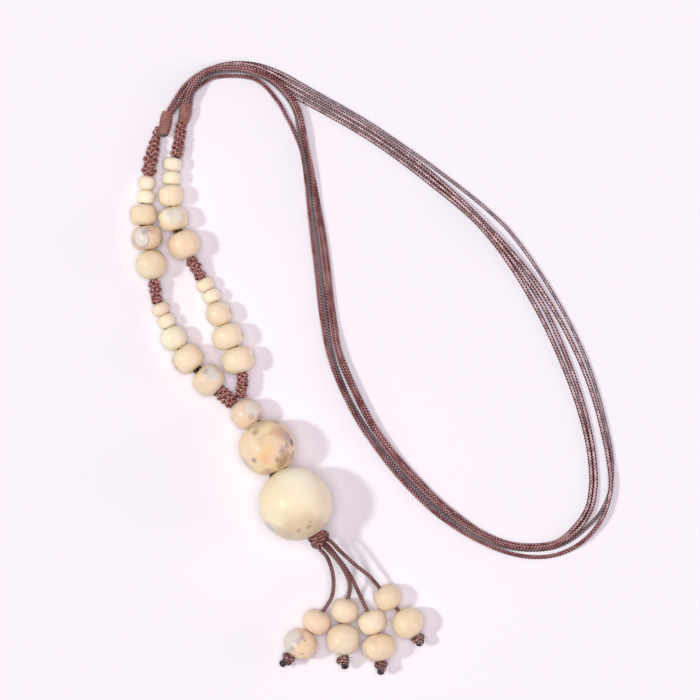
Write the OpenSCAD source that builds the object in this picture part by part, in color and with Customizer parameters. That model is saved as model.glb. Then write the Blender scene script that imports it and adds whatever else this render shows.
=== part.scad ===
// Woven necklace laid flat on a table. Four waxed cords make the neck loop, which opens out to the
// right, bends back at the bottom and crosses itself at the top left. Both ends go through a wrapped
// knot into a row of round ceramic beads with knotted sleeves between them. The two rows join above
// three larger beads, and four cords with two beads and an end knot each make the tassel.
// X is to the right of the laid necklace, Y towards the top of its loop, Z up; it lies on z = 0.

/* [Cord] */
// Diameter of each neck and tassel cord
cord_d = 1.25; // [1.0:0.05:1.3]
// Diameter of the bundle of cords that runs through the beads
core_d = 1.7; // [1.2:0.1:2]
// Width of the knotted sleeves between the beads
sleeve_w = 4.2; // [3:0.1:4.6]

/* [Beads] */
// Hole through each bead of the two rows and the small bead of the drop
hole_d = 2.6; // [2.4:0.1:3]
// Hole through the two larger beads of the drop
drop_hole_d = 3.6; // [3:0.1:4]
// Hole through each tassel bead
tassel_hole_d = 2.0; // [1.7:0.1:2.4]
// Radius of the domes at a bead's ends, as a share of its width
dome_share = 0.8; // [0.6:0.05:1.2]
// Space between a bead and the sleeve or knot beside it
seat = 0.25; // [0.15:0.05:0.4]
// Width across the small upper bead of the drop
drop_small_d = 10.5; // [9:0.1:12]
// Width across the middle bead of the drop
drop_mid_d = 18.7; // [16:0.1:20]
// Width across the big lowest bead of the drop
drop_big_d = 24.3; // [21:0.1:26]

/* [Knots] */
// Diameter of the wrapped knots where the neck cords end
wrap_d = 3.7; // [3:0.1:4.2]
// Diameter of the knot under the drop
drop_knot_d = 7; // [6:0.1:7.6]

/* [Hidden] */
$fn = 48;
ring_sides = 8;
core_r = core_d / 2;
sleeve_r = sleeve_w / 2;
cord_r = cord_d / 2;

cord_colour = [0.45, 0.27, 0.25];
knot_colour = [0.5, 0.26, 0.22];
bead_colour = [0.93, 0.83, 0.69];
pale_colour = [0.93, 0.87, 0.74];

// The neck loop, from the left knot round to the right knot: the middle of the four cords, how far
// to the left of it each cord runs, and how high each cord's middle is.
// x, y, sides of a, b, c and d, heights of a, b, c and d
route = [
    [-66.9, 85.5, 0.75, 0.75, -0.75, -0.75, 1.3, 2.7, 2.7, 1.3],
    [-61.3, 93.8, 0.75, 0.75, -0.75, -0.75, 0.8, 2.2, 2.2, 0.8],
    [-51.3, 99.5, 0.75, 0.75, -0.75, -0.75, 0.8, 2.2, 2.2, 0.8],
    [-45.3, 100.5, 0.8, 0.7, -0.7, -0.8, 0.8, 2.2, 2.2, 0.8],
    [-39.3, 99.7, 1.2, 0.7, -0.7, -1.2, 0.8, 2.1, 2.1, 0.8],
    [-33.3, 97.2, 1.8, 0.7, -0.7, -1.8, 0.8, 1.8, 1.8, 0.8],
    [-27.3, 93.7, 2.25, 0.75, -0.75, -2.3, 0.8, 0.8, 0.8, 0.8],
    [2.7, 76.2, 2.2, 0.7, -0.7, -2.15, 0.8, 0.8, 0.8, 0.8],
    [19.3, 63.7, 2.9, 0.9, -0.5, -1.95, 0.8, 0.8, 1.3, 0.8],
    [36.3, 47.8, 4.8, 0.8, 0, -0.8, 0.8, 2.0, 3.3, 2.0],
    [41.3, 42.3, 5.3, 1.1, 0, -1.0, 0.8, 1.9, 3.0, 1.9],
    [54.0, 25.0, 5.0, 2.3, 0.2, -2.0, 0.8, 1.2, 1.0, 0.8],
    [66.0, 3.3, 4.6, 2.5, -1.1, -3.2, 0.8, 0.8, 0.8, 0.8],
    [75.0, -21.0, 3.2, 1.7, -2.5, -4.0, 0.8, 0.8, 0.8, 0.8],
    [76.7, -31.0, 3.3, 2.1, -2.6, -4.0, 0.8, 1.8, 0.8, 0.8],
    [76.7, -40.0, 2.8, 2.8, -2.3, -3.7, 0.8, 2.4, 1.0, 0.8],
    [74.3, -47.7, 1.9, 3.3, -1.4, -2.7, 0.8, 2.4, 1.5, 0.8],
    [69.3, -54.3, 0.8, 3.5, -0.6, -2.0, 0.8, 1.8, 1.9, 0.8],
    [61.3, -59.5, 0.4, 3.0, -0.3, -1.15, 0.8, 0.8, 2.1, 0.8],
    [52.7, -60.8, 0.15, 2.5, -0.6, -1.35, 0.8, 0.8, 2.1, 0.8],
    [44.3, -59.5, 0.4, 2.0, -0.4, -1.1, 0.8, 0.8, 2.1, 0.8],
    [36.0, -56.3, 0.2, 1.7, -0.6, -1.4, 0.8, 0.8, 2.0, 0.8],
    [26.0, -50.0, 0.4, 1.9, -0.8, -2.0, 0.8, 0.8, 1.7, 0.8],
    [10.0, -34.7, 0.7, 2.15, -0.75, -2.2, 0.8, 0.9, 0.8, 0.9],
    [3.0, -26.2, 0.65, 1.85, -0.85, -2.05, 0.8, 1.7, 1.0, 1.9],
    [-7.2, -8.7, 1.1, 2.1, -1.1, -2.1, 0.8, 1.8, 1.5, 2.5],
    [-13.2, 7.7, 0.8, 2.1, -0.7, -2.0, 0.8, 1.4, 1.5, 2.1],
    [-14.3, 14.0, 0.7, 2.1, -0.7, -2.1, 0.8, 1.0, 1.0, 1.2],
    [-17.3, 39.0, 0.75, 2.15, -0.75, -2.15, 0.9, 0.8, 0.9, 0.8],
    [-19.0, 50.7, 0.7, 1.8, -0.7, -1.8, 1.9, 0.8, 1.9, 0.8],
    [-22.2, 71.7, 0.7, 1.1, -0.75, -0.9, 2.2, 0.8, 2.35, 0.8],
    // over the first stretch, where it lies on top
    [-23.7, 78.3, 0.5, 2.0, -0.6, -1.1, 2.0, 0.8, 3.3, 1.9],
    [-25.8, 85.7, 0.1, 3.4, -0.6, -1.4, 2.3, 0.8, 3.5, 2.3],
    [-29.3, 91.5, 0.3, 3.5, -0.4, -1.1, 2.4, 0.8, 3.8, 2.5],
    [-33.7, 95.7, 0.6, 2.9, -0.2, -0.9, 3.2, 0.8, 4.5, 3.2],
    [-39.3, 98.2, 0.6, 2.1, -0.1, -0.9, 3.7, 1.0, 5.0, 3.7],
    [-45.3, 99.3, 0.6, 2.3, -0.1, -0.9, 3.7, 0.8, 5.0, 3.7],
    [-56.3, 97.2, 0.6, 2.3, -0.1, -0.9, 3.7, 0.8, 5.0, 3.7],
    [-60.7, 91.8, 0.7, 1.2, 0, -0.8, 3.5, 1.6, 5.3, 3.9],
    [-61.3, 88.0, 0.8, 0.7, -0.4, -0.8, 2.9, 1.4, 4.0, 2.2],
];
steps = 2;
last_row = len(route) - 1;

// Beads of the left row, from the top: x, y, width across, length along the string
left_beads = [
    [-75.0, 61.3, 5.8, 4.8],
    [-75.2, 56.5, 6.1, 4.6],
    [-76.1, 50.6, 9.1, 6.8],
    [-74.9, 43.0, 10.2, 8.2],
    [-73.5, 34.0, 10.3, 9.5],
    [-70.4, 19.3, 5.9, 4.2],
    [-68.4, 15.2, 6.1, 4.6],
    [-66.0, 9.5, 8.8, 7.1],
    [-61.3, 2.7, 10.5, 9.0],
    [-54.4, -4.4, 10.7, 10.1],
];

// Beads of the right row, from the top
right_beads = [
    [-66.4, 67.5, 6.5, 4.5],
    [-66.7, 62.9, 6.5, 4.1],
    [-67.0, 57.0, 8.4, 7.2],
    [-66.1, 49.3, 9.7, 7.9],
    [-62.5, 40.7, 10.6, 9.9],
    [-55.6, 27.4, 6.1, 4.3],
    [-53.4, 23.5, 6.5, 4.2],
    [-51.0, 17.7, 8.7, 7.7],
    [-48.1, 10.1, 10.4, 8.1],
    [-44.6, 2.3, 10.7, 8.2],
];

// Beads of the drop: x, y, width across, length along the string, and how far the string lifts it
drop_beads = [
    [-41.8, -15.6, drop_small_d, 9.4, 0.8],
    [-34.8, -26.7, drop_mid_d, 17.2, 0],
    [-25.4, -45.4, drop_big_d, 23.8, 0],
];

// Tassel beads, an upper and a lower one on each cord
tassel_beads = [
    [[-18.4, -84.8, 9.5, 8.0], [-23.7, -92.1, 11.1, 9.6]],
    [[-9.1, -81.1, 9.3, 8.2], [-9.6, -90.7, 11.3, 10.3]],
    [[0.1, -84.9, 9.7, 7.9], [2.2, -93.3, 11.3, 9.1]],
    [[5.2, -76.7, 9.3, 8.3], [12.0, -85.1, 10.7, 9.9]],
];

// Points of the tassel cords between the knot under the drop and the first bead
tassel_paths = [
    [[-17.9, -59.5, 10.2], [-15.2, -62.8, 9.6], [-13.4, -67.3, 8.7], [-12.8, -71.4, 7.3], [-13.4, -76.3, 5.9]],
    [[-15.6, -59.3, 11.2], [-12.3, -62.9, 10.8], [-9.4, -67.6, 9.0], [-8.0, -71.9, 6.8], [-8.3, -75.6, 5.0]],
    [[-14.6, -58.6, 9.2], [-11.3, -63.0, 8.6], [-7.0, -69.0, 7.4], [-4.3, -75.3, 6.0]],
    [[-14.2, -56.9, 10.9], [-10.4, -60.6, 10.6], [-5.2, -65.5, 8.8], [-0.6, -69.8, 6.6]],
];

// Ends of the wrapped knots, the side of the neck cords first
wrap_left_line = [[-68.0, 84.5, 2.1], [-68.9, 77.9, 2.1]];
wrap_right_line = [[-61.5, 87.3, 2.3], [-62.7, 82.2, 2.2]];
// Middle of the knot under the drop, and its height along the string
drop_knot_at = [-18.0, -56.7, 10.9];
drop_knot_h = 3;
// Tips of the end knots, and their widths
knot_tips = [
    [-30.4, -99.3, 3.6, 3.9],
    [-8.8, -100.4, 4.0, 3.9],
    [2.8, -102.3, 4.0, 3.8],
    [16.0, -92.8, 3.9, 3.0],
];
// Where the sleeves above the first beads begin, and their half widths there
sleeve_left_start = [[-71.7, 80.2, 1.9, 0.8], [-71.9, 78.4, 1.8, 1.1], [-72.3, 76.2, 2.1, 1.9]];
sleeve_right_start = [[-62.9, 81.4, 2.1, 1.8], [-63.4, 79.4, 2.2, 2.0]];
// Where the lowest sleeves end, above the drop, and their half widths there
sleeve_left_end = [-46.2, -12.2, 4.4, 1.5];
sleeve_right_end = [-43.7, -9.9, 4.6, 1.8];

function unit(v) = v / norm(v);
function centre(b) = [b[0], b[1], b[2] / 2 + (len(b) > 4 ? b[4] : 0)];

// Direction of a string at its point b, given the points before and after; the nearer one counts more
function heading(a, b, c) =
    unit(unit(b - a) / norm(b - a) + unit(c - b) / norm(c - b));

// Directions of the bead holes in a row that starts at the point first and ends at the point end
function headings(beads, first, end) =
    let (p = concat([first], [for (b = beads) centre(b)], [end]))
    [for (i = [1:len(beads)]) heading(p[i - 1], p[i], p[i + 1])];

left_dirs = headings(left_beads, [-73.5, 70, 2.1], sleeve_left_end_point());
right_dirs = headings(right_beads, [-64.5, 74, 2.2], sleeve_right_end_point());
drop_dirs = headings(drop_beads, [-48.0, -4.0, 4.0], drop_knot_at);
tassel_dirs = [for (t = tassel_beads) unit(centre(t[1]) - centre(t[0]))];

function sleeve_left_end_point() = [for (k = [0:2]) sleeve_left_end[k]];
function sleeve_right_end_point() = [for (k = [0:2]) sleeve_right_end[k]];

// A smooth curve between a and b that leaves along u and arrives along v, at the share t
function blend(a, u, b, v, t) =
    let (s = norm(b - a))
    a * (2 * t * t * t - 3 * t * t + 1) + u * s * (t * t * t - 2 * t * t + t)
    + b * (3 * t * t - 2 * t * t * t) + v * s * (t * t * t - t * t);

// Stations [point, half width] of the bundle inside one bead, straight along its hole
function inside(b, dir) = [
    [centre(b) - dir * (b[3] / 2 - max(0.5, b[3] * 0.06)), core_r],
    [centre(b) + dir * (b[3] / 2 - max(0.5, b[3] * 0.06)), core_r],
];

// Stations of a knotted sleeve from the bead b to the bead c, thick between the two seats
function sleeve(b, u, c, v) =
    let (
        start = centre(b) + u * (b[3] / 2 + seat),
        end = centre(c) - v * (c[3] / 2 + seat)
    )
    concat(
        [[start - u * 0.1, core_r]],
        [for (i = [0:4]) [blend(start, u, end, v, i / 4), sleeve_r]],
        [[end + v * 0.1, core_r]]
    );

// Stations of a sleeve that ends free, from the bead b to the point end of half width r
function sleeve_out(b, u, end, r) =
    let (start = centre(b) + u * (b[3] / 2 + seat), v = unit(end - start))
    concat(
        [[start - u * 0.1, core_r]],
        [for (i = [0:3]) [blend(start, u, end, v, i / 3), i == 3 ? r : sleeve_r]]
    );

// Stations of a sleeve that begins free at the rows start and goes into the bead c
function sleeve_in(start, c, v) =
    let (
        free = [for (s = start) [s[0], s[1], s[2]]],
        k = len(free) - 1,
        end = centre(c) - v * (c[3] / 2 + seat)
    )
    concat(
        [for (i = [0:k]) [free[i], start[i][3]]],
        [for (i = [1:4]) [blend(free[k], unit(free[k] - free[k - 1]), end, v, i / 4), sleeve_r]],
        [[end + v * 0.1, core_r]]
    );

function join(lists) = [for (l = lists) for (x = l) x];

// One string: a sleeve, the beads up to the middle sleeve, that sleeve, the other beads, a sleeve
function row_stations(beads, dirs, start, end) =
    let (k = len(beads) - 1)
    concat(
        sleeve_in(start, beads[0], dirs[0]),
        join([for (i = [0:4]) inside(beads[i], dirs[i])]),
        sleeve(beads[4], dirs[4], beads[5], dirs[5]),
        join([for (i = [5:k]) inside(beads[i], dirs[i])]),
        sleeve_out(beads[k], dirs[k], [end[0], end[1], end[2]], end[3])
    );

// Distance between two points as seen from above
function far(a, b) = norm([b[0] - a[0], b[1] - a[1]]);

// Slope of the curve at row b; the sides and heights, the third and later values, never swing past a row
function lean(a, b, c) =
    let (before = far(a, b), after = far(b, c))
    [for (i = [0:len(b) - 1])
        let (u = (b[i] - a[i]) / before, v = (c[i] - b[i]) / after)
        i < 2 ? (u * after + v * before) / (before + after) : u * v <= 0 ? 0 : 2 * u * v / (u + v)];

// Smooth curve from row b to row c, with a before and d after
function curve(a, b, c, d, t) =
    let (s = far(b, c))
    b * (2*t^3 - 3*t^2 + 1) + lean(a, b, c) * s * (t^3 - 2*t^2 + t)
    + c * (3*t^2 - 2*t^3) + lean(b, c, d) * s * (t^3 - t^2);

// Direction of that curve
function slope(a, b, c, d, t) =
    let (s = far(b, c))
    (b - c) * (6*t^2 - 6*t) + lean(a, b, c) * s * (3*t^2 - 4*t + 1) + lean(b, c, d) * s * (3*t^2 - 2*t);

// Rows, with one more before the first and after the last
function row(i) =
    i < 0 ? 2 * route[0] - route[1]
    : i > last_row ? 2 * route[last_row] - route[last_row - 1]
    : route[i];
function place(i, t, k) =
    let (
        at = curve(row(i - 1), row(i), row(i + 1), row(i + 2), t),
        way = slope(row(i - 1), row(i), row(i + 1), row(i + 2), t),
        left = unit([-way[1], way[0]])
    )
    [at[0] + left[0] * at[2 + k], at[1] + left[1] * at[2 + k], at[6 + k]];

// Middle line of the neck cord k
function neck_line(k) =
    [for (i = [0:last_row - 1], j = [0:steps - 1]) place(i, j / steps, k), place(last_row - 1, 1, k)];

// A smooth line through a few points, with n stretches to a span
function smooth(p, n) =
    let (
        z = len(p) - 1,
        q = concat([2 * p[0] - p[1]], p, [2 * p[z] - p[z - 1]])
    )
    [for (i = [0:z - 1], j = [0:n - 1]) curve(q[i], q[i + 1], q[i + 2], q[i + 3], j / n), p[z]];

// Round tube through stations [point, half width]
module tube(stations) {
    n = ring_sides;
    k = len(stations) - 1;
    way = [for (i = [0:k]) unit(stations[min(i + 1, k)][0] - stations[max(i - 1, 0)][0])];
    points = [
        for (i = [0:k])
            let (
                side = unit(cross([0, 0, 1], way[i])),
                up = cross(way[i], side)
            )
            for (j = [0:n - 1])
                stations[i][0]
                + stations[i][1] * (side * cos(360 * (j + 0.5) / n) + up * sin(360 * (j + 0.5) / n))
    ];
    faces = concat(
        [[for (j = [0:n - 1]) j]],
        [
            for (i = [0:k - 1], j = [0:n - 1])
                let (a = i * n + j, b = i * n + (j + 1) % n)
                each [[a, a + n, b + n], [a, b + n, b]]
        ],
        [[for (j = [n - 1:-1:0]) k * n + j]]
    );
    polyhedron(points = points, faces = faces, convexity = 8);
}

// Turns +Z to the direction v at the point p
module along(p, v) {
    translate(p)
        rotate([0, acos(v[2] / norm(v)), atan2(v[1], v[0])])
            children();
}

// Drilled ball, with flatter domes where the hole goes in and out
module bead(b, dir, hole) {
    dome = b[2] * dome_share;
    color(b[2] < 7 ? pale_colour : bead_colour)
        along(centre(b), dir)
            rotate_extrude()
                intersection() {
                    circle(d = b[2]);
                    translate([0, b[3] / 2 - dome])
                        circle(r = dome);
                    translate([0, dome - b[3] / 2])
                        circle(r = dome);
                    translate([hole / 2, -b[3] / 2])
                        square([b[2], b[3]]);
                }
}

// Cord wound round and round: n turns of a cord on the line from p to q
module wrap(line, width, n) {
    length = norm(line[1] - line[0]);
    turn = length / n;
    color(knot_colour)
        along(line[0], line[1] - line[0])
            rotate_extrude()
                union() {
                    translate([0, turn * 0.1])
                        square([width / 2 - turn * 0.35, length - turn * 0.2]);
                    for (i = [0:n - 1])
                        translate([width / 2 - turn / 2, (i + 0.5) * turn])
                            circle(d = turn, $fn = 24);
                }
}

// Knot that ends a tassel cord, with the melted tip of the cord
module end_knot(line, width) {
    length = norm(line[1] - line[0]);
    r = width / 2;
    color(knot_colour)
        along(line[0], line[1] - line[0])
            rotate_extrude()
                polygon([
                    [0, 0], [cord_r, 0], [cord_r, r * 0.2], [r * 0.9, r * 0.55], [r, r * 0.9],
                    [r, r * 1.3], [r * 0.65, length * 0.75], [cord_r, length * 0.85],
                    [cord_r * 0.8, length], [0, length]
                ]);
}

module left_bead(i) {
    bead(left_beads[i], left_dirs[i], hole_d);
}

module right_bead(i) {
    bead(right_beads[i], right_dirs[i], hole_d);
}

module drop_bead(i) {
    bead(drop_beads[i], drop_dirs[i], i == 0 ? hole_d : drop_hole_d);
}

module tassel_bead(i, j) {
    bead(tassel_beads[i][j], tassel_dirs[i], tassel_hole_d);
}

module neck_cord(k) {
    color(cord_colour)
        tube([for (p = neck_line(k)) [p, cord_r]]);
}

module string_left() {
    color(knot_colour)
        tube(row_stations(left_beads, left_dirs, sleeve_left_start, sleeve_left_end));
}

module string_right() {
    color(knot_colour)
        tube(row_stations(right_beads, right_dirs, sleeve_right_start, sleeve_right_end));
}

// Bundle inside the three beads of the drop
module string_drop() {
    color(cord_colour)
        tube(concat(
            [[centre(drop_beads[0]) - drop_dirs[0] * drop_beads[0][3] / 2, core_r]],
            join([for (i = [0:2]) inside(drop_beads[i], drop_dirs[i])]),
            [[centre(drop_beads[2]) + drop_dirs[2] * drop_beads[2][3] / 2, core_r]]
        ));
}

// One tassel cord, from the knot under the drop to the end knot
module tassel_cord(i) {
    path = concat(
        smooth(tassel_paths[i], 2),
        join([
            for (j = [0:1])
                let (c = centre(tassel_beads[i][j]), u = tassel_dirs[i], s = tassel_beads[i][j][3])
                [c - u * (s / 2 - 0.4), c + u * (s / 2 - 0.4)]
        ])
    );
    color(cord_colour)
        tube([for (p = path) [p, cord_r]]);
}

module wrap_left() {
    wrap(wrap_left_line, wrap_d, 5);
}

module wrap_right() {
    wrap(wrap_right_line, wrap_d + 0.4, 4);
}

module drop_knot() {
    b = drop_beads[2];
    u = drop_dirs[2];
    start = centre(b) + u * (b[3] / 2 + seat);
    wrap([start, start + u * drop_knot_h], drop_knot_d, 2);
}

module tassel_knot(i) {
    b = tassel_beads[i][1];
    k = knot_tips[i];
    end_knot([centre(b) + tassel_dirs[i] * (b[3] / 2 + seat), [k[0], k[1], k[2]]], k[3]);
}

letters = ["a", "b", "c", "d"];

for (k = [0:3])
    neck_cord(k);
wrap_left();
wrap_right();
string_left();
string_right();
string_drop();
drop_knot();
for (i = [0:9])
    left_bead(i);
for (i = [0:9])
    right_bead(i);
drop_bead(0);  // bead_drop_small
drop_bead(1);  // bead_drop_middle
drop_bead(2);  // bead_drop_big
for (i = [0:3])
    tassel_cord(i);
for (i = [0:3])
    tassel_bead(i, 0);
for (i = [0:3])
    tassel_bead(i, 1);
for (i = [0:3])
    tassel_knot(i);
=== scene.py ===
"""Looks of a woven necklace that lies on a pale table.

Waxed braided cords make the neck loop. Both ends go through wound knots into a row of glazed beads
with plaited sleeves between them. The rows join above a drop of three larger beads, and a tassel of
four cords with two beads each hangs under it. Lengths are in metres, unless a name ends in _mm.
"""

import logging
import math
from dataclasses import dataclass
from enum import Enum
from typing import Sequence

import bpy
import numpy as np
from mathutils import Matrix, Vector

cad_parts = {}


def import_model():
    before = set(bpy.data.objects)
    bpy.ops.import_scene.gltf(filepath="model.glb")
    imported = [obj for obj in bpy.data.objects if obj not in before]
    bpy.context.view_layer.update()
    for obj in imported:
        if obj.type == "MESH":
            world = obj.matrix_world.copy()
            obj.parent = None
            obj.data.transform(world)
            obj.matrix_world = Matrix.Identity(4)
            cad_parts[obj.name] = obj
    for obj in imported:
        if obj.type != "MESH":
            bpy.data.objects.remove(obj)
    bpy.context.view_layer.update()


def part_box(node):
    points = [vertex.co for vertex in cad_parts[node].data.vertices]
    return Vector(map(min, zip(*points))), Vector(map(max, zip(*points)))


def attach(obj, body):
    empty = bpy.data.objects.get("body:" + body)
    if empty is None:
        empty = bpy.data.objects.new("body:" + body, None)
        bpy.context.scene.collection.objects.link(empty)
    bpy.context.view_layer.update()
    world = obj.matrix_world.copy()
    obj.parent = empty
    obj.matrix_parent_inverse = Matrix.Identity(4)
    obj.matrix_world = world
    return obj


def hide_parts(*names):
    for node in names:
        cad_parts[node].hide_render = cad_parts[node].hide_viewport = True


LOG = logging.getLogger("necklace")
MM = 0.001
TURN = 2 * math.pi
TINY = 1e-6
UP = np.array([0.0, 0.0, 1.0])
BODY = "root"

Colour = tuple[float, float, float]
Point = tuple[float, float, float]
Pair = tuple[float, float]
Array = np.ndarray
Piece = bpy.types.Object
Material = bpy.types.Material
Socket = bpy.types.NodeSocket


class Slot(Enum):
    """The record's material slots."""

    CORD = "waxed_cord"
    KNOT = "knotted_cord"
    BEAD = "bead_glaze"
    SMALL_BEAD = "small_bead_glaze"


class Hand(Enum):
    """Which way a strand winds round its core."""

    RIGHT = 1
    LEFT = -1


# Rows of the neck loop in millimetres: the middle of the four cords, how far to the left of it each
# cord runs, and how high each cord's middle is
# x, y, sides of a, b, c and d, heights of a, b, c and d
ROUTE_MM: list[tuple[float, ...]] = [
    (-66.9, 85.5, 0.75, 0.75, -0.75, -0.75, 1.3, 2.7, 2.7, 1.3),
    (-61.3, 93.8, 0.75, 0.75, -0.75, -0.75, 0.8, 2.2, 2.2, 0.8),
    (-51.3, 99.5, 0.75, 0.75, -0.75, -0.75, 0.8, 2.2, 2.2, 0.8),
    (-45.3, 100.5, 0.8, 0.7, -0.7, -0.8, 0.8, 2.2, 2.2, 0.8),
    (-39.3, 99.7, 1.2, 0.7, -0.7, -1.2, 0.8, 2.1, 2.1, 0.8),
    (-33.3, 97.2, 1.8, 0.7, -0.7, -1.8, 0.8, 1.8, 1.8, 0.8),
    (-27.3, 93.7, 2.25, 0.75, -0.75, -2.3, 0.8, 0.8, 0.8, 0.8),
    (2.7, 76.2, 2.2, 0.7, -0.7, -2.15, 0.8, 0.8, 0.8, 0.8),
    (19.3, 63.7, 2.9, 0.9, -0.5, -1.95, 0.8, 0.8, 1.3, 0.8),
    (36.3, 47.8, 4.8, 0.8, 0, -0.8, 0.8, 2.0, 3.3, 2.0),
    (41.3, 42.3, 5.3, 1.1, 0, -1.0, 0.8, 1.9, 3.0, 1.9),
    (54.0, 25.0, 5.0, 2.3, 0.2, -2.0, 0.8, 1.2, 1.0, 0.8),
    (66.0, 3.3, 4.6, 2.5, -1.1, -3.2, 0.8, 0.8, 0.8, 0.8),
    (75.0, -21.0, 3.2, 1.7, -2.5, -4.0, 0.8, 0.8, 0.8, 0.8),
    (76.7, -31.0, 3.3, 2.1, -2.6, -4.0, 0.8, 1.8, 0.8, 0.8),
    (76.7, -40.0, 2.8, 2.8, -2.3, -3.7, 0.8, 2.4, 1.0, 0.8),
    (74.3, -47.7, 1.9, 3.3, -1.4, -2.7, 0.8, 2.4, 1.5, 0.8),
    (69.3, -54.3, 0.8, 3.5, -0.6, -2.0, 0.8, 1.8, 1.9, 0.8),
    (61.3, -59.5, 0.4, 3.0, -0.3, -1.15, 0.8, 0.8, 2.1, 0.8),
    (52.7, -60.8, 0.15, 2.5, -0.6, -1.35, 0.8, 0.8, 2.1, 0.8),
    (44.3, -59.5, 0.4, 2.0, -0.4, -1.1, 0.8, 0.8, 2.1, 0.8),
    (36.0, -56.3, 0.2, 1.7, -0.6, -1.4, 0.8, 0.8, 2.0, 0.8),
    (26.0, -50.0, 0.4, 1.9, -0.8, -2.0, 0.8, 0.8, 1.7, 0.8),
    (10.0, -34.7, 0.7, 2.15, -0.75, -2.2, 0.8, 0.9, 0.8, 0.9),
    (3.0, -26.2, 0.65, 1.85, -0.85, -2.05, 0.8, 1.7, 1.0, 1.9),
    (-7.2, -8.7, 1.1, 2.1, -1.1, -2.1, 0.8, 1.8, 1.5, 2.5),
    (-13.2, 7.7, 0.8, 2.1, -0.7, -2.0, 0.8, 1.4, 1.5, 2.1),
    (-14.3, 14.0, 0.7, 2.1, -0.7, -2.1, 0.8, 1.0, 1.0, 1.2),
    (-17.3, 39.0, 0.75, 2.15, -0.75, -2.15, 0.9, 0.8, 0.9, 0.8),
    (-19.0, 50.7, 0.7, 1.8, -0.7, -1.8, 1.9, 0.8, 1.9, 0.8),
    (-22.2, 71.7, 0.7, 1.1, -0.75, -0.9, 2.2, 0.8, 2.35, 0.8),
    (-23.7, 78.3, 0.5, 2.0, -0.6, -1.1, 2.0, 0.8, 3.3, 1.9),
    (-25.8, 85.7, 0.1, 3.4, -0.6, -1.4, 2.3, 0.8, 3.5, 2.3),
    (-29.3, 91.5, 0.3, 3.5, -0.4, -1.1, 2.4, 0.8, 3.8, 2.5),
    (-33.7, 95.7, 0.6, 2.9, -0.2, -0.9, 3.2, 0.8, 4.5, 3.2),
    (-39.3, 98.2, 0.6, 2.1, -0.1, -0.9, 3.7, 1.0, 5.0, 3.7),
    (-45.3, 99.3, 0.6, 2.3, -0.1, -0.9, 3.7, 0.8, 5.0, 3.7),
    (-56.3, 97.2, 0.6, 2.3, -0.1, -0.9, 3.7, 0.8, 5.0, 3.7),
    (-60.7, 91.8, 0.7, 1.2, 0, -0.8, 3.5, 1.6, 5.3, 3.9),
    (-61.3, 88.0, 0.8, 0.7, -0.4, -0.8, 2.9, 1.4, 4.0, 2.2),
]

# The first columns of the sides and of the heights in a row
SIDE, HEIGHT = 2, 6


def unit(v: Array) -> Array:
    """The vectors v at length one, along the last axis."""
    return v / np.linalg.norm(v, axis=-1, keepdims=True)


def far(a: Array, b: Array) -> float:
    """The distance between two points as seen from above."""
    return float(np.hypot(b[0] - a[0], b[1] - a[1]))


def lean(a: Array, b: Array, c: Array) -> Array:
    """The slope of a smooth line at one of its points.

    Args:
        a: the point before it.
        b: the point.
        c: the point after it.

    Returns:
        The slope. From its third value on, the line never swings past b.
    """
    before, after = far(a, b), far(b, c)
    u, v = (b - a) / before, (c - b) / after
    slope = np.where(u * v <= 0, 0, 2 * u * v / np.where(u + v == 0, 1, u + v))
    slope[:2] = ((u * after + v * before) / (before + after))[:2]
    return slope


def bend(a: Array, b: Array, u: Array, v: Array, t: float) -> Array:
    """The point at the share t of the curve from a to b that has the slopes u and v at its ends."""
    ends = a * (2 * t**3 - 3 * t * t + 1) + b * (3 * t * t - 2 * t**3)
    return ends + u * (t**3 - 2 * t * t + t) + v * (t**3 - t * t)


def curve(a: Array, b: Array, c: Array, d: Array, t: float) -> Array:
    """The point at the share t of the smooth curve from b to c, with a before it and d after it."""
    s = far(b, c)
    return bend(b, c, s * lean(a, b, c), s * lean(b, c, d), t)


def curve_way(a: Array, b: Array, c: Array, d: Array, t: float) -> Array:
    """The direction of that curve at the share t."""
    slopes = lean(a, b, c) * (3 * t * t - 4 * t + 1) + lean(b, c, d) * (3 * t * t - 2 * t)
    return (b - c) * (6 * t * t - 6 * t) + far(b, c) * slopes


def smooth(points: Sequence[Sequence[float]], parts: int = 12) -> Array:
    """A smooth line through a few points.

    Args:
        points: the points that the line goes through.
        parts: how many stretches each span gets.

    Returns:
        The points of the line, one a row.
    """
    p = np.array(points, float)
    p = np.vstack([2 * p[0] - p[1], p, 2 * p[-1] - p[-2]])
    line = [curve(*p[i : i + 4], j / parts) for i in range(len(p) - 3) for j in range(parts)]
    return np.array(line + [p[-2]])


def blend(a: Vector, u: Vector, b: Vector, v: Vector, parts: int = 12) -> Array:
    """A smooth line from a to b that leaves along u and arrives along v.

    Args:
        a: where the line starts.
        u: its direction there.
        b: where it ends.
        v: its direction there.
        parts: how many stretches it has.

    Returns:
        The points of the line, one a row.
    """
    s = (b - a).length
    return np.array([bend(a, b, u * s, v * s, i / parts) for i in range(parts + 1)])


def run_of(line: Array) -> Array:
    """The distance along a line at each of its points."""
    return np.concatenate([[0], np.cumsum(np.linalg.norm(np.diff(line, axis=0), axis=1))])


def resample(line: Array, step: float) -> Array:
    """Points along a line at even distances.

    Args:
        line: the points of the line.
        step: the distance wanted between two points.

    Returns:
        The new points, the two ends among them.
    """
    run = run_of(line)
    at = np.linspace(0, run[-1], max(2, round(run[-1] / step) + 1))
    return np.column_stack([np.interp(at, run, line[:, k]) for k in range(line.shape[1])])


def headings(line: Array) -> Array:
    """The direction of a line at each of its points."""
    return unit(np.gradient(line, axis=0))


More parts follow.
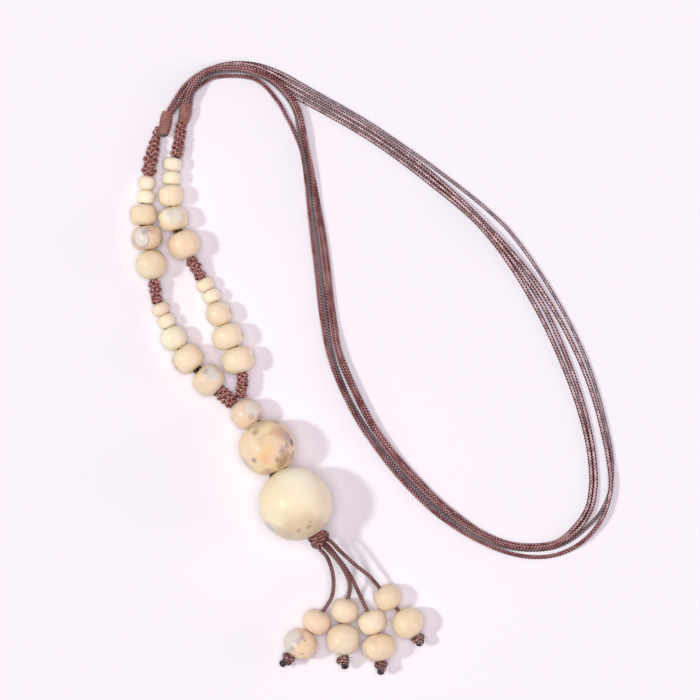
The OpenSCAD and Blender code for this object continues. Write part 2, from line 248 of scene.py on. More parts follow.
def around(line: Array, angle: Array, radius: float | Array) -> tuple[Array, Array]:
    """Points that run round a line.

    Args:
        line: the points of the line.
        angle: how far each new point is turned about the line, in radians.
        radius: how far it is from the line.

    Returns:
        The new points, and the directions from the line to them.
    """
    way = headings(line)
    side = unit(np.cross(UP, way))
    out = np.cos(angle)[:, None] * side + np.sin(angle)[:, None] * np.cross(way, side)
    return line + out * np.broadcast_to(radius, angle.shape)[:, None], out


@dataclass
class Tube:
    """One round tube of points, faces and places on the surface."""

    points: Array
    faces: list
    uv: Array

    @staticmethod
    def join(tubes: Sequence["Tube"]) -> "Tube":
        """Several tubes as one.

        Args:
            tubes: the tubes.

        Returns:
            The tube of all their points and faces.
        """
        faces: list = []
        start = 0
        for t in tubes:
            faces += [tuple(v + start for v in f) for f in t.faces]
            start += len(t.points)
        return Tube(np.vstack([t.points for t in tubes]), faces, np.vstack([t.uv for t in tubes]))

    def piece(self, name: str) -> Piece:
        """Makes it a smooth object.

        Args:
            name: the object's name.

        Returns:
            The object, linked to the scene.
        """
        mesh = bpy.data.meshes.new(name)
        mesh.from_pydata(self.points.tolist(), [], self.faces)
        layer = mesh.uv_layers.new(name="surface")
        layer.data.foreach_set("uv", self.uv.astype(np.float32).ravel())
        mesh.polygons.foreach_set("use_smooth", [True] * len(mesh.polygons))
        mesh.update()
        obj = bpy.data.objects.new(name, mesh)
        bpy.context.scene.collection.objects.link(obj)
        return obj


@dataclass(frozen=True)
class Braid:
    """Relief of a cord that is braided from thin threads.

    strands is how many threads run each way, lead the length of one turn, and depth how deep the
    grooves between the stitches are.
    """

    strands: int = 3
    lead: float = 3.1 * MM
    depth: float = 0.1 * MM

    def height(self, run: Array, turn: Array) -> Array:
        """How far each point stands above the grooves, from 0 to 1."""
        a, b = (math.pi * self.strands * (turn + hand.value * run / self.lead) for hand in Hand)
        return np.sqrt(np.abs(np.sin(a) * np.sin(b)))


def sweep(
    line: Array,
    radius: float | Array,
    sides: int,
    braid: Braid | None = None,
    closed: bool = False,
    up: Array = UP,
) -> Tube:
    """A tube along a line.

    Args:
        line: the points of the middle line.
        radius: the radius, or one for each point.
        sides: how many sides the tube has.
        braid: the relief on its surface, or None.
        closed: whether the last point joins the first one.
        up: the direction that the tube's upper side leans to, or one for each point.

    Returns:
        The tube.
    """
    n = len(line)
    way = unit(np.roll(line, -1, axis=0) - np.roll(line, 1, axis=0)) if closed else headings(line)
    side = unit(np.cross(np.broadcast_to(up, line.shape), way))
    top = np.cross(way, side)
    run = run_of(line)
    turn = np.arange(sides) / sides
    r = np.broadcast_to(np.asarray(radius, float), (n,))[:, None]
    if braid is not None:
        r = r - braid.depth * (1 - braid.height(run[:, None], turn[None, :]))
    c, s = np.cos(TURN * turn), np.sin(TURN * turn)
    points = line[:, None, :] + (r * c)[..., None] * side[:, None, :] + (r * s)[..., None] * top[:, None, :]
    i, j = np.meshgrid(np.arange(n if closed else n - 1), np.arange(sides), indexing="ij")
    i2, j2 = (i + 1) % n, (j + 1) % sides
    quads = np.stack([i * sides + j, i * sides + j2, i2 * sides + j2, i2 * sides + j], axis=-1)
    faces: list = [tuple(q) for q in quads.reshape(-1, 4).tolist()]
    u = np.append(run, run[-1] + np.linalg.norm(line[0] - line[-1])) / MM
    v = np.arange(sides + 1) / sides
    corners = [(i, j), (i, j + 1), (i + 1, j + 1), (i + 1, j)]
    uv = np.stack([np.stack([u[a], v[b]], axis=-1) for a, b in corners], axis=2).reshape(-1, 2)
    if not closed:
        faces.append(tuple(range(sides - 1, -1, -1)))
        faces.append(tuple((n - 1) * sides + k for k in range(sides)))
        uv = np.vstack([uv, np.array([[0.0, 0.5]] * sides + [[run[-1] / MM, 0.5]] * sides)])
    return Tube(points.reshape(-1, 3), faces, uv)


class Graph:
    """A material's nodes, with a short call for each kind that the finishes need."""

    def __init__(self, name: str) -> None:
        """Starts an empty material with a shader and an output.

        Args:
            name: the material's name.
        """
        self.material = bpy.data.materials.new(name)
        self.material.use_nodes = True
        self.tree = self.material.node_tree
        self.tree.nodes.clear()
        self.shader = self.tree.nodes.new("ShaderNodeBsdfPrincipled")
        out = self.tree.nodes.new("ShaderNodeOutputMaterial")
        self.tree.links.new(self.shader.outputs["BSDF"], out.inputs["Surface"])

    def put(self, node: bpy.types.Node, where: str | int, value: object) -> None:
        """Sets or links one input of a node.

        Args:
            node: the node.
            where: the input's name or number.
            value: the value, the socket to link, or None to leave the input as it is.
        """
        if isinstance(value, Socket):
            self.tree.links.new(value, node.inputs[where])
        elif value is not None:
            if isinstance(value, tuple) and len(value) == 3 and node.inputs[where].type == "RGBA":
                value = (*value, 1.0)
            node.inputs[where].default_value = value

    def node(self, kind: str, inputs: dict, **settings: str) -> bpy.types.Node:
        """Adds a node.

        Args:
            kind: the node's type.
            inputs: a value or a socket for each input that is set.
            settings: the node's own options.

        Returns:
            The node.
        """
        node = self.tree.nodes.new(kind)
        for name, value in settings.items():
            setattr(node, name, value)
        for where, value in inputs.items():
            self.put(node, where, value)
        return node

    def place(self) -> Socket:
        """The point on the object, in metres."""
        return self.node("ShaderNodeTexCoord", {}).outputs["Object"]

    def surface(self) -> Socket:
        """The place on the piece's own surface: millimetres along it, and turns round it."""
        return self.node("ShaderNodeUVMap", {}, uv_map="surface").outputs["UV"]

    def split(self, vector: Socket) -> tuple[Socket, ...]:
        """The three parts of a vector."""
        return tuple(self.node("ShaderNodeSeparateXYZ", {0: vector}).outputs)

    def math(self, operation: str, a: object, b: object = None) -> Socket:
        """A sum of one or two values."""
        return self.node("ShaderNodeMath", {0: a, 1: b}, operation=operation).outputs[0]

    def times(self, product: object, *others: object) -> Socket:
        """The product of several values.

        Args:
            product: the first value.
            others: the values that it is multiplied by.

        Returns:
            The product.
        """
        for value in others:
            product = self.math("MULTIPLY", product, value)
        return product

    def rest(self, share: object) -> Socket:
        """What a share leaves of one."""
        return self.math("SUBTRACT", 1.0, share)

    def vector(self, operation: str, a: object, b: object) -> Socket:
        """A sum of two vectors, or the distance between two points."""
        node = self.node("ShaderNodeVectorMath", {0: a, 1: b}, operation=operation)
        return node.outputs["Value" if operation == "DISTANCE" else "Vector"]

    def noise(
        self, vector: Socket, scale: float, detail: float = 2.0, rough: float = 0.5, output: str = "Fac"
    ) -> Socket:
        """Soft noise of about 1/scale metres."""
        inputs = {"Vector": vector, "Scale": scale, "Detail": detail, "Roughness": rough}
        return self.node("ShaderNodeTexNoise", inputs).outputs[output]

    def span(self, value: object, low: float, high: float) -> Socket:
        """Maps low to 0 and high to 1, smoothly and clamped."""
        inputs = {"Value": value, "From Min": low, "From Max": high}
        return self.node("ShaderNodeMapRange", inputs, interpolation_type="SMOOTHSTEP").outputs["Result"]

    def mix(self, share: object, a: object, b: object, mode: str = "MIX") -> Socket:
        """Two colours mixed."""
        node = self.node("ShaderNodeMix", {0: share, 6: a, 7: b}, data_type="RGBA", blend_type=mode)
        return node.outputs[2]

    def bump(self, height: object, distance: float, strength: float) -> None:
        """Gives the shader a bump."""
        node = self.node("ShaderNodeBump", {"Height": height, "Distance": distance, "Strength": strength})
        self.put(self.shader, "Normal", node.outputs["Normal"])

    def shade(self, inputs: dict[str, object]) -> Material:
        """Sets the shader's inputs.

        Args:
            inputs: a value or a socket for each of them.

        Returns:
            The finished material.
        """
        for where, value in inputs.items():
            self.put(self.shader, where, value)
        return self.material


@dataclass(frozen=True)
class SheenLines:
    """Two pale lines of painted sheen that run along a cord, on its upper sides.

    strength says how pale they are. places are the turns round the cord where they run, and
    fineness that of their gaps. edge and gaps say where a line and a gap in it begin and end.
    """

    strength: float
    places: Pair = (0.09, 0.41)
    fineness: Pair = (70.0, 90.0)
    edge: Pair = (0.03, 0.06)
    gaps: Pair = (0.44, 0.52)

    def lay(self, g: Graph, p: Socket, turns: Socket, wax: Socket) -> Socket:
        """Lays the lines of painted sheen over the painted highlight.

        Args:
            g: the material's nodes.
            p: the point on the cord.
            turns: the turns round it.
            wax: how much painted highlight there is.

        Returns:
            How much painted highlight and sheen there is then.
        """
        for place, fineness in zip(self.places, self.fineness):
            away = g.math("ABSOLUTE", g.math("SUBTRACT", turns, place))
            near = g.times(g.rest(g.span(away, *self.edge)), self.strength)
            wax = g.math("MAXIMUM", wax, g.times(near, g.span(g.noise(p, fineness), *self.gaps)))
        return wax


@dataclass(frozen=True)
class Glint:
    """The stretch of a cord where a painted highlight lies along the ridge of its back.

    It goes from start_mm to stop_mm along the cord, and fade_mm is how softly it begins and ends.
    frost is that painted highlight's colour there. back, stitch and blot say where on the back, on a
    stitch and in the noise the painted highlight begins and where it is whole, and least how much of it
    is everywhere. dull is how much of the painted sheen off the ridge goes away, and how far the
    thread's own colour inside the stretch is pulled towards the cord's edge colour, its painted shade.
    """

    start_mm: float = 30.0
    stop_mm: float = 230.0
    fade_mm: float = 20.0
    glint_colour: Colour = (0.95, 0.71, 0.73)
    back: Pair = (0.68, 0.97)
    stitch: Pair = (0.1, 0.85)
    blot: Pair = (0.4, 0.6)
    least: float = 0.45
    dull: float = 0.5

    def inside(self, g: Graph, along: Socket) -> Socket:
        """How far a place along the cord is inside the stretch, from 0 to 1."""
        start, stop = self.start_mm, self.stop_mm
        return g.times(g.span(along, start - self.fade_mm, start), g.span(along, stop + self.fade_mm, stop))

    def ridge(self, g: Graph, back: Socket, lump: Socket, blots: Socket) -> Socket:
        """How much painted highlight lies on the ridge.

        Args:
            g: the material's nodes.
            back: the height on the cord's round side.
            lump: the height on a stitch.
            blots: the noise of the painted sheen.

        Returns:
            The share of painted highlight.
        """
        spots = g.math("ADD", self.least, g.times(g.span(blots, *self.blot), 1 - self.least))
        return g.times(g.span(back, *self.back), g.span(lump, *self.stitch), spots)


@dataclass(frozen=True)
class WaxedCord:
    """Finish of a braided and waxed cord.

    edge is the colour of its sides and between the stitches, painted shade that darkens them, thread
    the colour of its back, and bloom the waxed cord's pale sheen, painted as a highlight along the
    back. The back is the side of the tube at a quarter turn. groove says how dark the painted shade in
    the grooves is, wax how strongly the painted highlight is laid on, dot how high a stitch stands
    where its painted highlight begins, and shine how much the cord mirrors. blots and grain are the
    fineness of the noise in the painted highlight and in the thread. The pairs that end in _span say
    where a share begins and where it is whole: the thread's colour and the painted highlight over the
    back, the painted highlight in the noise, and the painted shade of the grooves.
    """

    name: str
    edge: Colour
    thread: Colour
    highlight_colour: Colour
    braid: Braid = Braid()
    groove_shade: float = 0.85
    wax: float = 0.9
    dot: float = 0.4
    full_dot: float = 0.95
    shine: float = 0.5
    roughness: float = 0.36
    lines: SheenLines | None = None
    glint: Glint | None = None
    blots: float = 300.0
    grain: float = 2600.0
    thread_span: Pair = (-0.2, 0.6)
    highlight_span: Pair = (0.1, 0.8)
    blot_span: Pair = (0.3, 0.6)
    groove_span: Pair = (0.1, 0.65)
    grain_span: Pair = (0.3, 0.7)
    grain_tones: tuple[Colour, Colour] = ((0.8, 0.78, 0.78), (1.15, 1.12, 1.12))
    relief: float = 0.03 * MM

    def _stitches(self, g: Graph, along: Socket, turns: Socket) -> Socket:
        """How high the stitches stand.

        Args:
            g: the material's nodes.
            along: the millimetres along the cord.
            turns: the turns round it.

        Returns:
            The height, from 0 to 1.
        """
        strands = float(self.braid.strands)
        turn, run = g.times(turns, strands), g.times(along, strands * MM / self.braid.lead)
        crossing = [g.math("SINE", g.times(g.math(way, turn, run), math.pi)) for way in ("ADD", "SUBTRACT")]
        return g.math("POWER", g.times(*(g.math("ABSOLUTE", x) for x in crossing)), 0.5)

    def make(self) -> Material:
        """Makes the finish, with its stitches along the piece's own surface.

        Returns:
            The material.
        """
        g = Graph(self.name)
        along, turns, _ = g.split(g.surface())
        p = g.place()
        lump = self._stitches(g, along, turns)
        back = g.math("SINE", g.times(turns, TURN))
        blots = g.noise(p, self.blots, 3.0, 0.6)
        grain = g.noise(p, self.grain, 2.0, 0.7)
        # The sides of the cord take the edge colour: painted shade
        colour = g.mix(g.span(back, *self.thread_span), self.edge, self.thread)
        highlight_colour: object = self.highlight_colour
        # A painted highlight of pale sheen along the back and on the tops of the stitches
        wax = g.times(g.span(back, *self.highlight_span), g.span(blots, *self.blot_span))
        wax = g.times(wax, g.span(lump, self.dot, self.full_dot))
        if self.lines is not None:
            wax = self.lines.lay(g, p, turns, wax)
        if self.glint is not None:
            inside = self.glint.inside(g, along)
            wax = g.mix(inside, g.times(wax, 1 - self.glint.dull), self.glint.ridge(g, back, lump, blots))
            colour = g.mix(g.times(inside, self.glint.dull), colour, self.edge)
            highlight_colour = g.mix(inside, self.highlight_colour, self.glint.glint_colour)
        # Painted shade in the grooves between the stitches
        colour = g.mix(g.times(g.rest(g.span(lump, *self.groove_span)), self.groove_shade), colour, self.edge)
        colour = g.mix(g.times(wax, self.wax), colour, highlight_colour)
        colour = g.mix(1.0, colour, g.mix(g.span(grain, *self.grain_span), *self.grain_tones), "MULTIPLY")
        g.bump(g.math("ADD", lump, g.times(grain, 0.5)), self.relief, 0.5)
        return g.shade({"Base Color": colour, "Roughness": self.roughness, "Specular IOR Level": self.shine})


@dataclass(frozen=True)
class MeltedTip:
    """Finish of a cord's end that was melted over a flame."""

    tones: tuple[Colour, Colour] = ((0.02, 0.014, 0.016), (0.09, 0.06, 0.065))
    spots: float = 1500.0
    lumps: float = 2200.0
    relief: float = 0.1 * MM

    def make(self) -> Material:
        """Makes the finish.

        Returns:
            The material.
        """
        g = Graph("melted_tip")
        p = g.place()
        colour = g.mix(g.span(g.noise(p, self.spots, 3.0, 0.6), 0.35, 0.7), *self.tones)
        g.bump(g.noise(p, self.lumps), self.relief, 0.6)
        return g.shade({"Base Color": colour, "Roughness": 0.25})


@dataclass(frozen=True)
class Patch:
    """A patch of another colour on a bead.

    x and y say where its middle is as the necklace is seen from above, as shares of the bead's
    radius. reach is the patch's radius as a share of it, soft the width of its edge, and wave how
    far its edge wanders as a share of its reach. share says how much of its colour is laid on, rim
    is the colour of a line along the edge, and line says how strong that is. lobes says how fine
    the waves of the edge are, and softest how wide the edge gets at most, as a share of reach.
    """

    x: float
    y: float
    reach: float
    colour: Colour
    soft: float = 0.18
    wave: float = 0.25
    share: float = 1.0
    rim: Colour | None = None
    line: float = 0.5
    lobes: float = 0.9
    softest: float = 0.7

    def paint(self, g: Graph, p: Socket, colour: Socket, middle: Vector, radius: float) -> Socket:
        """Lays the patch over a colour.

        Args:
            g: the material's nodes.
            p: the point on the bead.
            colour: the colour under the patch.
            middle: the bead's middle.
            radius: the bead's radius.

        Returns:
            The new colour.
        """
        up = math.sqrt(max(0.0, 1 - self.x**2 - self.y**2))
        centre = tuple(middle + Vector((self.x, self.y, up)) * radius)
        size = self.reach * radius
        noise = g.noise(p, self.lobes / size, 3.0, 0.6, "Color")
        wander = g.vector("MULTIPLY", g.vector("SUBTRACT", noise, (0.5,) * 3), (4 * self.wave * size,) * 3)
        away = g.math("DIVIDE", g.vector("DISTANCE", g.vector("ADD", p, wander), centre), radius)
        soft = min(self.soft, self.softest * self.reach)
        inside = g.rest(g.span(away, self.reach - soft, self.reach + soft))
        colour = g.mix(g.times(inside, self.share), colour, self.colour)
        if self.rim is None:
            return colour
        return g.mix(g.times(inside, g.rest(inside), 4 * self.line), colour, self.rim)


@dataclass(frozen=True)
class Glaze:
    """Finish of a glazed ceramic bead.

    It goes from cream to blush in soft clouds, with mottles of lighter and darker tints over them.
    specks says how strong its brown specks are, and speck is their colour. clouds, mottles, dots
    and groups give the fineness of these patterns, as a share of one over the bead's radius. The
    ranges say where in the noise each pattern begins and where it is whole. A larger bead has a
    duller coat: coat_rough is its roughness for no radius at all, and coat_dull what a metre adds.
    """

    cream: Colour
    blush: Colour
    patches: tuple[Patch, ...] = ()
    specks: float = 0.0
    speck: Colour = (0.33, 0.24, 0.2)
    clouds: float = 0.55
    cloud_span: Pair = (0.38, 0.62)
    mottles: float = 2.2
    mottle_span: Pair = (0.3, 0.7)
    tints: tuple[Colour, Colour] = ((0.985, 0.975, 0.965), (1.035, 1.035, 1.055))
    dots: float = 7.0
    dot_span: Pair = (0.64, 0.72)
    groups: float = 0.9
    group_span: Pair = (0.45, 0.6)
    depth: float = 3 * MM
    grain: float = 900.0
    relief: float = 0.03 * MM
    coat: float = 0.22
    coat_rough: float = 0.1
    coat_dull: float = 14.0

    def make(self, name: str, middle: Vector, radius: float, tone: Colour) -> Material:
        """The material for one bead.

        Args:
            name: the material's name.
            middle: the bead's middle.
            radius: the bead's radius.
            tone: how much lighter this bead is.

        Returns:
            The material.
        """
        g = Graph(name)
        p = g.place()
        colour = g.mix(g.span(g.noise(p, self.clouds / radius), *self.cloud_span), self.cream, self.blush)
        tint = g.mix(g.span(g.noise(p, self.mottles / radius, 3.0, 0.55), *self.mottle_span), *self.tints)
        colour = g.mix(1.0, colour, tint, "MULTIPLY")
        for patch in self.patches:
            colour = patch.paint(g, p, colour, middle, radius)
        colour = g.mix(1.0, colour, tone, "MULTIPLY")
        if self.specks > 0:
            dots = g.span(g.noise(p, self.dots / radius), *self.dot_span)
            groups = g.span(g.noise(p, self.groups / radius, 1.0), *self.group_span)
            colour = g.mix(g.times(dots, groups, self.specks), colour, self.speck)
        g.bump(g.noise(p, self.grain), self.relief, 0.2)
        look = {
            "Base Color": colour,
            "Subsurface Weight": 0.3,
            "Subsurface Radius": (1.0, 0.75, 0.55),
            "Subsurface Scale": self.depth,
            "Roughness": 0.45,
            "Specular IOR Level": 0.35,
            "Coat Weight": self.coat,
            "Coat Roughness": self.coat_rough + self.coat_dull * radius,
        }
        return g.shade(look)


CREAM: Colour = (0.85, 0.7, 0.5)
IVORY: Colour = (0.9, 0.82, 0.65)
STRAW: Colour = (0.88, 0.77, 0.55)
PEACH: Colour = (0.85, 0.65, 0.455)
GOLD: Colour = (0.83, 0.6, 0.33)
CORAL: Colour = (0.66, 0.43, 0.31)
GREY: Colour = (0.75, 0.7, 0.6)
MIST: Colour = (0.68, 0.62, 0.57)
LILAC: Colour = (0.46, 0.37, 0.38)
SLATE: Colour = (0.42, 0.35, 0.32)
SMOKE: Colour = (0.24, 0.17, 0.16)
BROWN: Colour = (0.4, 0.27, 0.18)
OLIVE: Colour = (0.43, 0.32, 0.19)

# How much lighter a bead is than its glaze
TONES: dict[str, Colour] = {
    "bead_left_1": (1.05, 1.02, 1.02),
    "bead_left_2": (1.08, 1.1, 1.1),
    "bead_left_3": (1.03, 1.06, 1.06),
    "bead_left_5": (0.98, 1.06, 1.03),
    "bead_left_6": (0.97, 0.98, 1.06),
    "bead_left_8": (1.0, 1.03, 1.02),
    "bead_left_9": (1.03, 1.06, 1.05),
    "bead_left_10": (0.97, 1.02, 1.04),
    "bead_right_1": (1.04, 1.03, 1.08),
    "bead_right_2": (1.04, 1.07, 1.1),
    "bead_right_3": (1.06, 1.08, 1.07),
    "bead_right_4": (1.02, 1.04, 1.02),
    "bead_right_5": (1.02, 1.01, 0.98),
    "bead_right_6": (0.98, 0.94, 0.88),
    "bead_right_8": (1.01, 1.04, 1.05),
    "bead_right_9": (1.05, 1.1, 1.12),
    "bead_right_10": (1.02, 1.02, 1.02),
    "bead_drop_middle": (1.02, 1.02, 0.99),
    "bead_drop_big": (1.04, 1.07, 1.04),
    "tassel_bead_upper_1": (1.01, 1.03, 1.06),
    "tassel_bead_upper_3": (1.03, 1.06, 1.07),
    "tassel_bead_upper_4": (0.95, 0.94, 0.9),
    "tassel_bead_lower_2": (1.01, 1.06, 1.1),
    "tassel_bead_lower_3": (0.98, 0.93, 0.9),
    "tassel_bead_lower_4": (1.0, 0.99, 0.95),
}

PLAIN = Glaze(CREAM, PEACH)
PALE = Glaze(IVORY, STRAW)
LIGHT = Glaze((0.87, 0.72, 0.52), (0.88, 0.73, 0.54))

# Glazes of the beads that aren't plain
GLAZES: dict[str, Glaze] = {
    "bead_left_3": Glaze(
        (0.84, 0.68, 0.47),
        PEACH,
        (Patch(-0.93, 0.1, 0.2, LILAC, share=0.5), Patch(0.9, 0.2, 0.3, (0.6, 0.47, 0.33), share=0.5)),
    ),
    "bead_left_4": Glaze(
        (0.77, 0.61, 0.43),
        (0.8, 0.62, 0.43),
        (
            Patch(0.37, 0.52, 0.28, CORAL, share=0.75),
            Patch(0.95, -0.1, 0.3, (0.55, 0.43, 0.3), share=0.6),
            Patch(-0.38, -0.14, 0.52, (0.77, 0.69, 0.62), 0.08, 0.12, rim=SLATE, line=0.7),
            Patch(-0.4, 0.24, 0.46, (0.76, 0.69, 0.63), 0.1, 0.12),
            Patch(-0.88, -0.25, 0.2, SLATE, share=0.55),
            Patch(0.03, 0.5, 0.22, (0.44, 0.35, 0.34), share=0.7),
            Patch(-0.15, 0.33, 0.18, LILAC, share=0.7),
        ),
    ),
    "bead_left_6": Glaze(STRAW, PEACH),
    "bead_left_8": PALE,
    "bead_left_9": Glaze(
        CREAM,
        (0.84, 0.66, 0.43),
        (
            Patch(-0.9, -0.1, 0.22, (0.5, 0.42, 0.42), share=0.7),
            Patch(-0.72, -0.6, 0.26, (0.5, 0.42, 0.42), share=0.8),
            Patch(-0.45, -0.75, 0.2, (0.75, 0.57, 0.45), share=0.6),
        ),
    ),
    "bead_left_10": Glaze(
        CREAM,
        PEACH,
        (
            Patch(0.29, 0.5, 0.52, GREY, 0.08),
            Patch(-0.16, 0.56, 0.2, (0.5, 0.4, 0.38), 0.12, 0.4, 0.8),
            Patch(0.1, 0.25, 0.18, MIST, share=0.8),
            Patch(0.6, 0.66, 0.2, MIST, share=0.5),
        ),
    ),
    "bead_right_3": Glaze(
        STRAW, CREAM, (Patch(-0.12, -0.42, 0.09, CORAL, share=0.6), Patch(-0.95, -0.1, 0.2, LILAC, share=0.5))
    ),
    "bead_right_4": Glaze(
        (0.86, 0.7, 0.5),
        STRAW,
        (
            Patch(0.21, 0.25, 0.63, (0.78, 0.72, 0.6), 0.08, 0.12, rim=(0.62, 0.53, 0.4), line=0.5),
            Patch(-0.12, 0.3, 0.26, (0.68, 0.62, 0.6), share=0.8),
            Patch(0.55, -0.35, 0.3, (0.72, 0.62, 0.42), share=0.6),
        ),
    ),
    "bead_right_5": Glaze(PEACH, CREAM),
    "bead_right_8": Glaze(
        (0.86, 0.69, 0.48), CREAM, (Patch(0.92, 0.2, 0.26, (0.55, 0.4, 0.34), 0.12, 0.3, share=0.7),)
    ),
    "bead_right_9": Glaze(
        (0.86, 0.69, 0.48), CREAM, (Patch(0.95, 0.2, 0.2, (0.45, 0.34, 0.3), 0.1, 0.3, share=0.7),)
    ),
    "bead_right_10": LIGHT,
    "bead_drop_small": Glaze(
        (0.79, 0.63, 0.45),
        (0.81, 0.64, 0.47),
        (
            Patch(-0.35, 0.7, 0.25, (0.78, 0.55, 0.45), share=0.6),
            Patch(0.5, 0.37, 0.55, GREY, 0.1, 0.15, rim=MIST, line=0.4),
            Patch(0.85, -0.14, 0.24, SLATE, 0.12, 0.3, 0.75),
            Patch(0.34, -0.14, 0.2, (0.5, 0.42, 0.36), 0.12, 0.4, 0.6),
            Patch(-0.1, -0.6, 0.35, GOLD, share=0.35),
        ),
    ),
    "bead_drop_middle": Glaze(
        (0.85, 0.69, 0.45),
        (0.82, 0.65, 0.46),
        (
            Patch(-0.3, 0.85, 0.34, (0.55, 0.41, 0.25), 0.25, 0.6, 0.75),
            Patch(0.0, 0.59, 0.3, (0.88, 0.73, 0.45), 0.2, 0.4, 0.9),
            Patch(0.33, 0.0, 0.56, (0.8, 0.63, 0.43), 0.12, 0.5, 0.45, (0.5, 0.36, 0.23), 0.25),
            Patch(0.02, -0.2, 0.32, GOLD, 0.2, 0.5, 0.95),
            Patch(-0.04, -0.45, 0.17, (0.84, 0.5, 0.28), 0.12, 0.5, 0.7),
            Patch(0.24, -0.38, 0.2, (0.86, 0.64, 0.49), 0.14, 0.5, 0.8),
            Patch(0.43, 0.56, 0.24, (0.68, 0.42, 0.29), 0.16, 0.6, 0.9),
            Patch(0.3, 0.9, 0.15, (0.42, 0.3, 0.26), 0.1, 0.6, 0.8),
            Patch(0.78, 0.34, 0.24, (0.46, 0.38, 0.38), 0.12, 0.7, 0.85),
            Patch(0.88, 0.17, 0.12, SMOKE, 0.07, 0.6, 0.9),
            Patch(0.53, -0.1, 0.15, LILAC, 0.1, 0.7, 0.9),
            Patch(0.68, 0.05, 0.1, SLATE, 0.07, 0.7, 0.8),
            Patch(0.57, -0.48, 0.27, (0.4, 0.28, 0.15), 0.14, 0.7, 0.9),
            Patch(0.87, -0.33, 0.2, BROWN, 0.1, 0.7, 0.8),
            Patch(-0.47, -0.44, 0.1, (0.33, 0.24, 0.2), 0.06, 0.5, 0.8),
            Patch(-0.74, -0.6, 0.28, (0.6, 0.5, 0.49), 0.18, 0.5, 0.65),
            Patch(0.05, -0.87, 0.22, (0.5, 0.36, 0.27), 0.14, 0.6, 0.7),
            Patch(-0.63, 0.68, 0.13, OLIVE, 0.08, 0.7, 0.8),
            Patch(-0.42, 0.54, 0.12, OLIVE, 0.08, 0.7, 0.8),
            Patch(-0.2, 0.32, 0.2, (0.74, 0.58, 0.4), 0.15, 0.6, 0.6),
            Patch(-0.65, -0.02, 0.25, (0.84, 0.64, 0.5), 0.15, 0.5, 0.6),
        ),
    ),
    "bead_drop_big": Glaze(
        (0.86, 0.75, 0.555),
        (0.86, 0.73, 0.52),
        (
            Patch(0.05, 0.85, 0.5, (1.0, 0.92, 0.74), 0.3, 0.1, 0.8),
            Patch(0.72, 0.08, 0.4, (0.8, 0.62, 0.44), 0.25, 0.2, 0.25),
            Patch(0.62, -0.58, 0.28, (0.58, 0.41, 0.28), 0.15, 0.3, 0.5),
            Patch(0.34, -0.42, 0.2, (0.64, 0.48, 0.32), 0.12, 0.3, 0.4),
            Patch(-0.6, -0.66, 0.2, (0.58, 0.48, 0.41), 0.12, 0.3, 0.4),
            Patch(-0.8, 0.22, 0.3, (0.9, 0.7, 0.46), 0.2, 0.2, 0.5),
            Patch(0.2, 0.45, 0.45, (0.9, 0.82, 0.66), 0.3, 0.2, 0.5),
            Patch(0.12, -0.7, 0.5, (0.7, 0.54, 0.36), 0.25, 0.3, 0.65),
            Patch(-0.32, -0.8, 0.24, (0.58, 0.48, 0.36), 0.14, 0.3, 0.6),
            Patch(-0.1, -0.6, 0.13, (0.78, 0.56, 0.42), 0.1, 0.3, 0.8),
            Patch(0.36, -0.61, 0.08, OLIVE, 0.05, 0.5, 0.75),
            Patch(0.09, -0.71, 0.07, (0.46, 0.35, 0.24), 0.05, 0.5, 0.65),
            Patch(0.4, -0.48, 0.05, OLIVE, 0.04, 0.5, 0.5),
            Patch(0.8, -0.56, 0.09, SLATE, 0.06, 0.4, 0.55),
            Patch(-0.7, -0.66, 0.18, (0.52, 0.47, 0.53), 0.1, 0.3, 0.7),
        ),
    ),
    "tassel_bead_upper_1": Glaze((0.85, 0.66, 0.48), PEACH),
    "tassel_bead_upper_2": LIGHT,
    "tassel_bead_upper_3": LIGHT,
    "tassel_bead_upper_4": LIGHT,
    "tassel_bead_lower_1": Glaze(
        (0.86, 0.66, 0.44),
        PEACH,
        (
            Patch(-0.6, 0.4, 0.62, (0.73, 0.68, 0.58), 0.1, 0.15),
            Patch(-0.75, -0.1, 0.4, (0.73, 0.66, 0.58), 0.1, 0.15),
            Patch(0.08, 0.68, 0.17, (0.58, 0.48, 0.47), 0.1, 0.3, 0.7),
            Patch(0.07, 0.4, 0.15, LILAC, 0.08, 0.35, 0.8),
            Patch(-0.18, 0.18, 0.22, (0.56, 0.5, 0.5), 0.1, 0.4, 0.75),
            Patch(-0.52, -0.28, 0.17, (0.48, 0.4, 0.37), 0.1, 0.4, 0.7),
            Patch(0.25, 0.25, 0.07, BROWN, 0.05, 0.3, 0.8),
            Patch(0.1, -0.58, 0.08, OLIVE, 0.06, 0.4, 0.7),
            Patch(0.25, -0.86, 0.1, BROWN, 0.06, 0.4, 0.6),
        ),
    ),
    "tassel_bead_lower_3": Glaze(
        CREAM,
        STRAW,
        (
            Patch(-0.85, -0.2, 0.2, MIST, 0.1, 0.5, 0.7),
            Patch(-0.68, -0.5, 0.16, LILAC, 0.08, 0.5, 0.7),
            Patch(-0.4, -0.75, 0.12, (0.55, 0.43, 0.33), 0.08, 0.5, 0.6),
        ),
        specks=0.3,
    ),
    "tassel_bead_lower_4": Glaze(CREAM, STRAW),
}

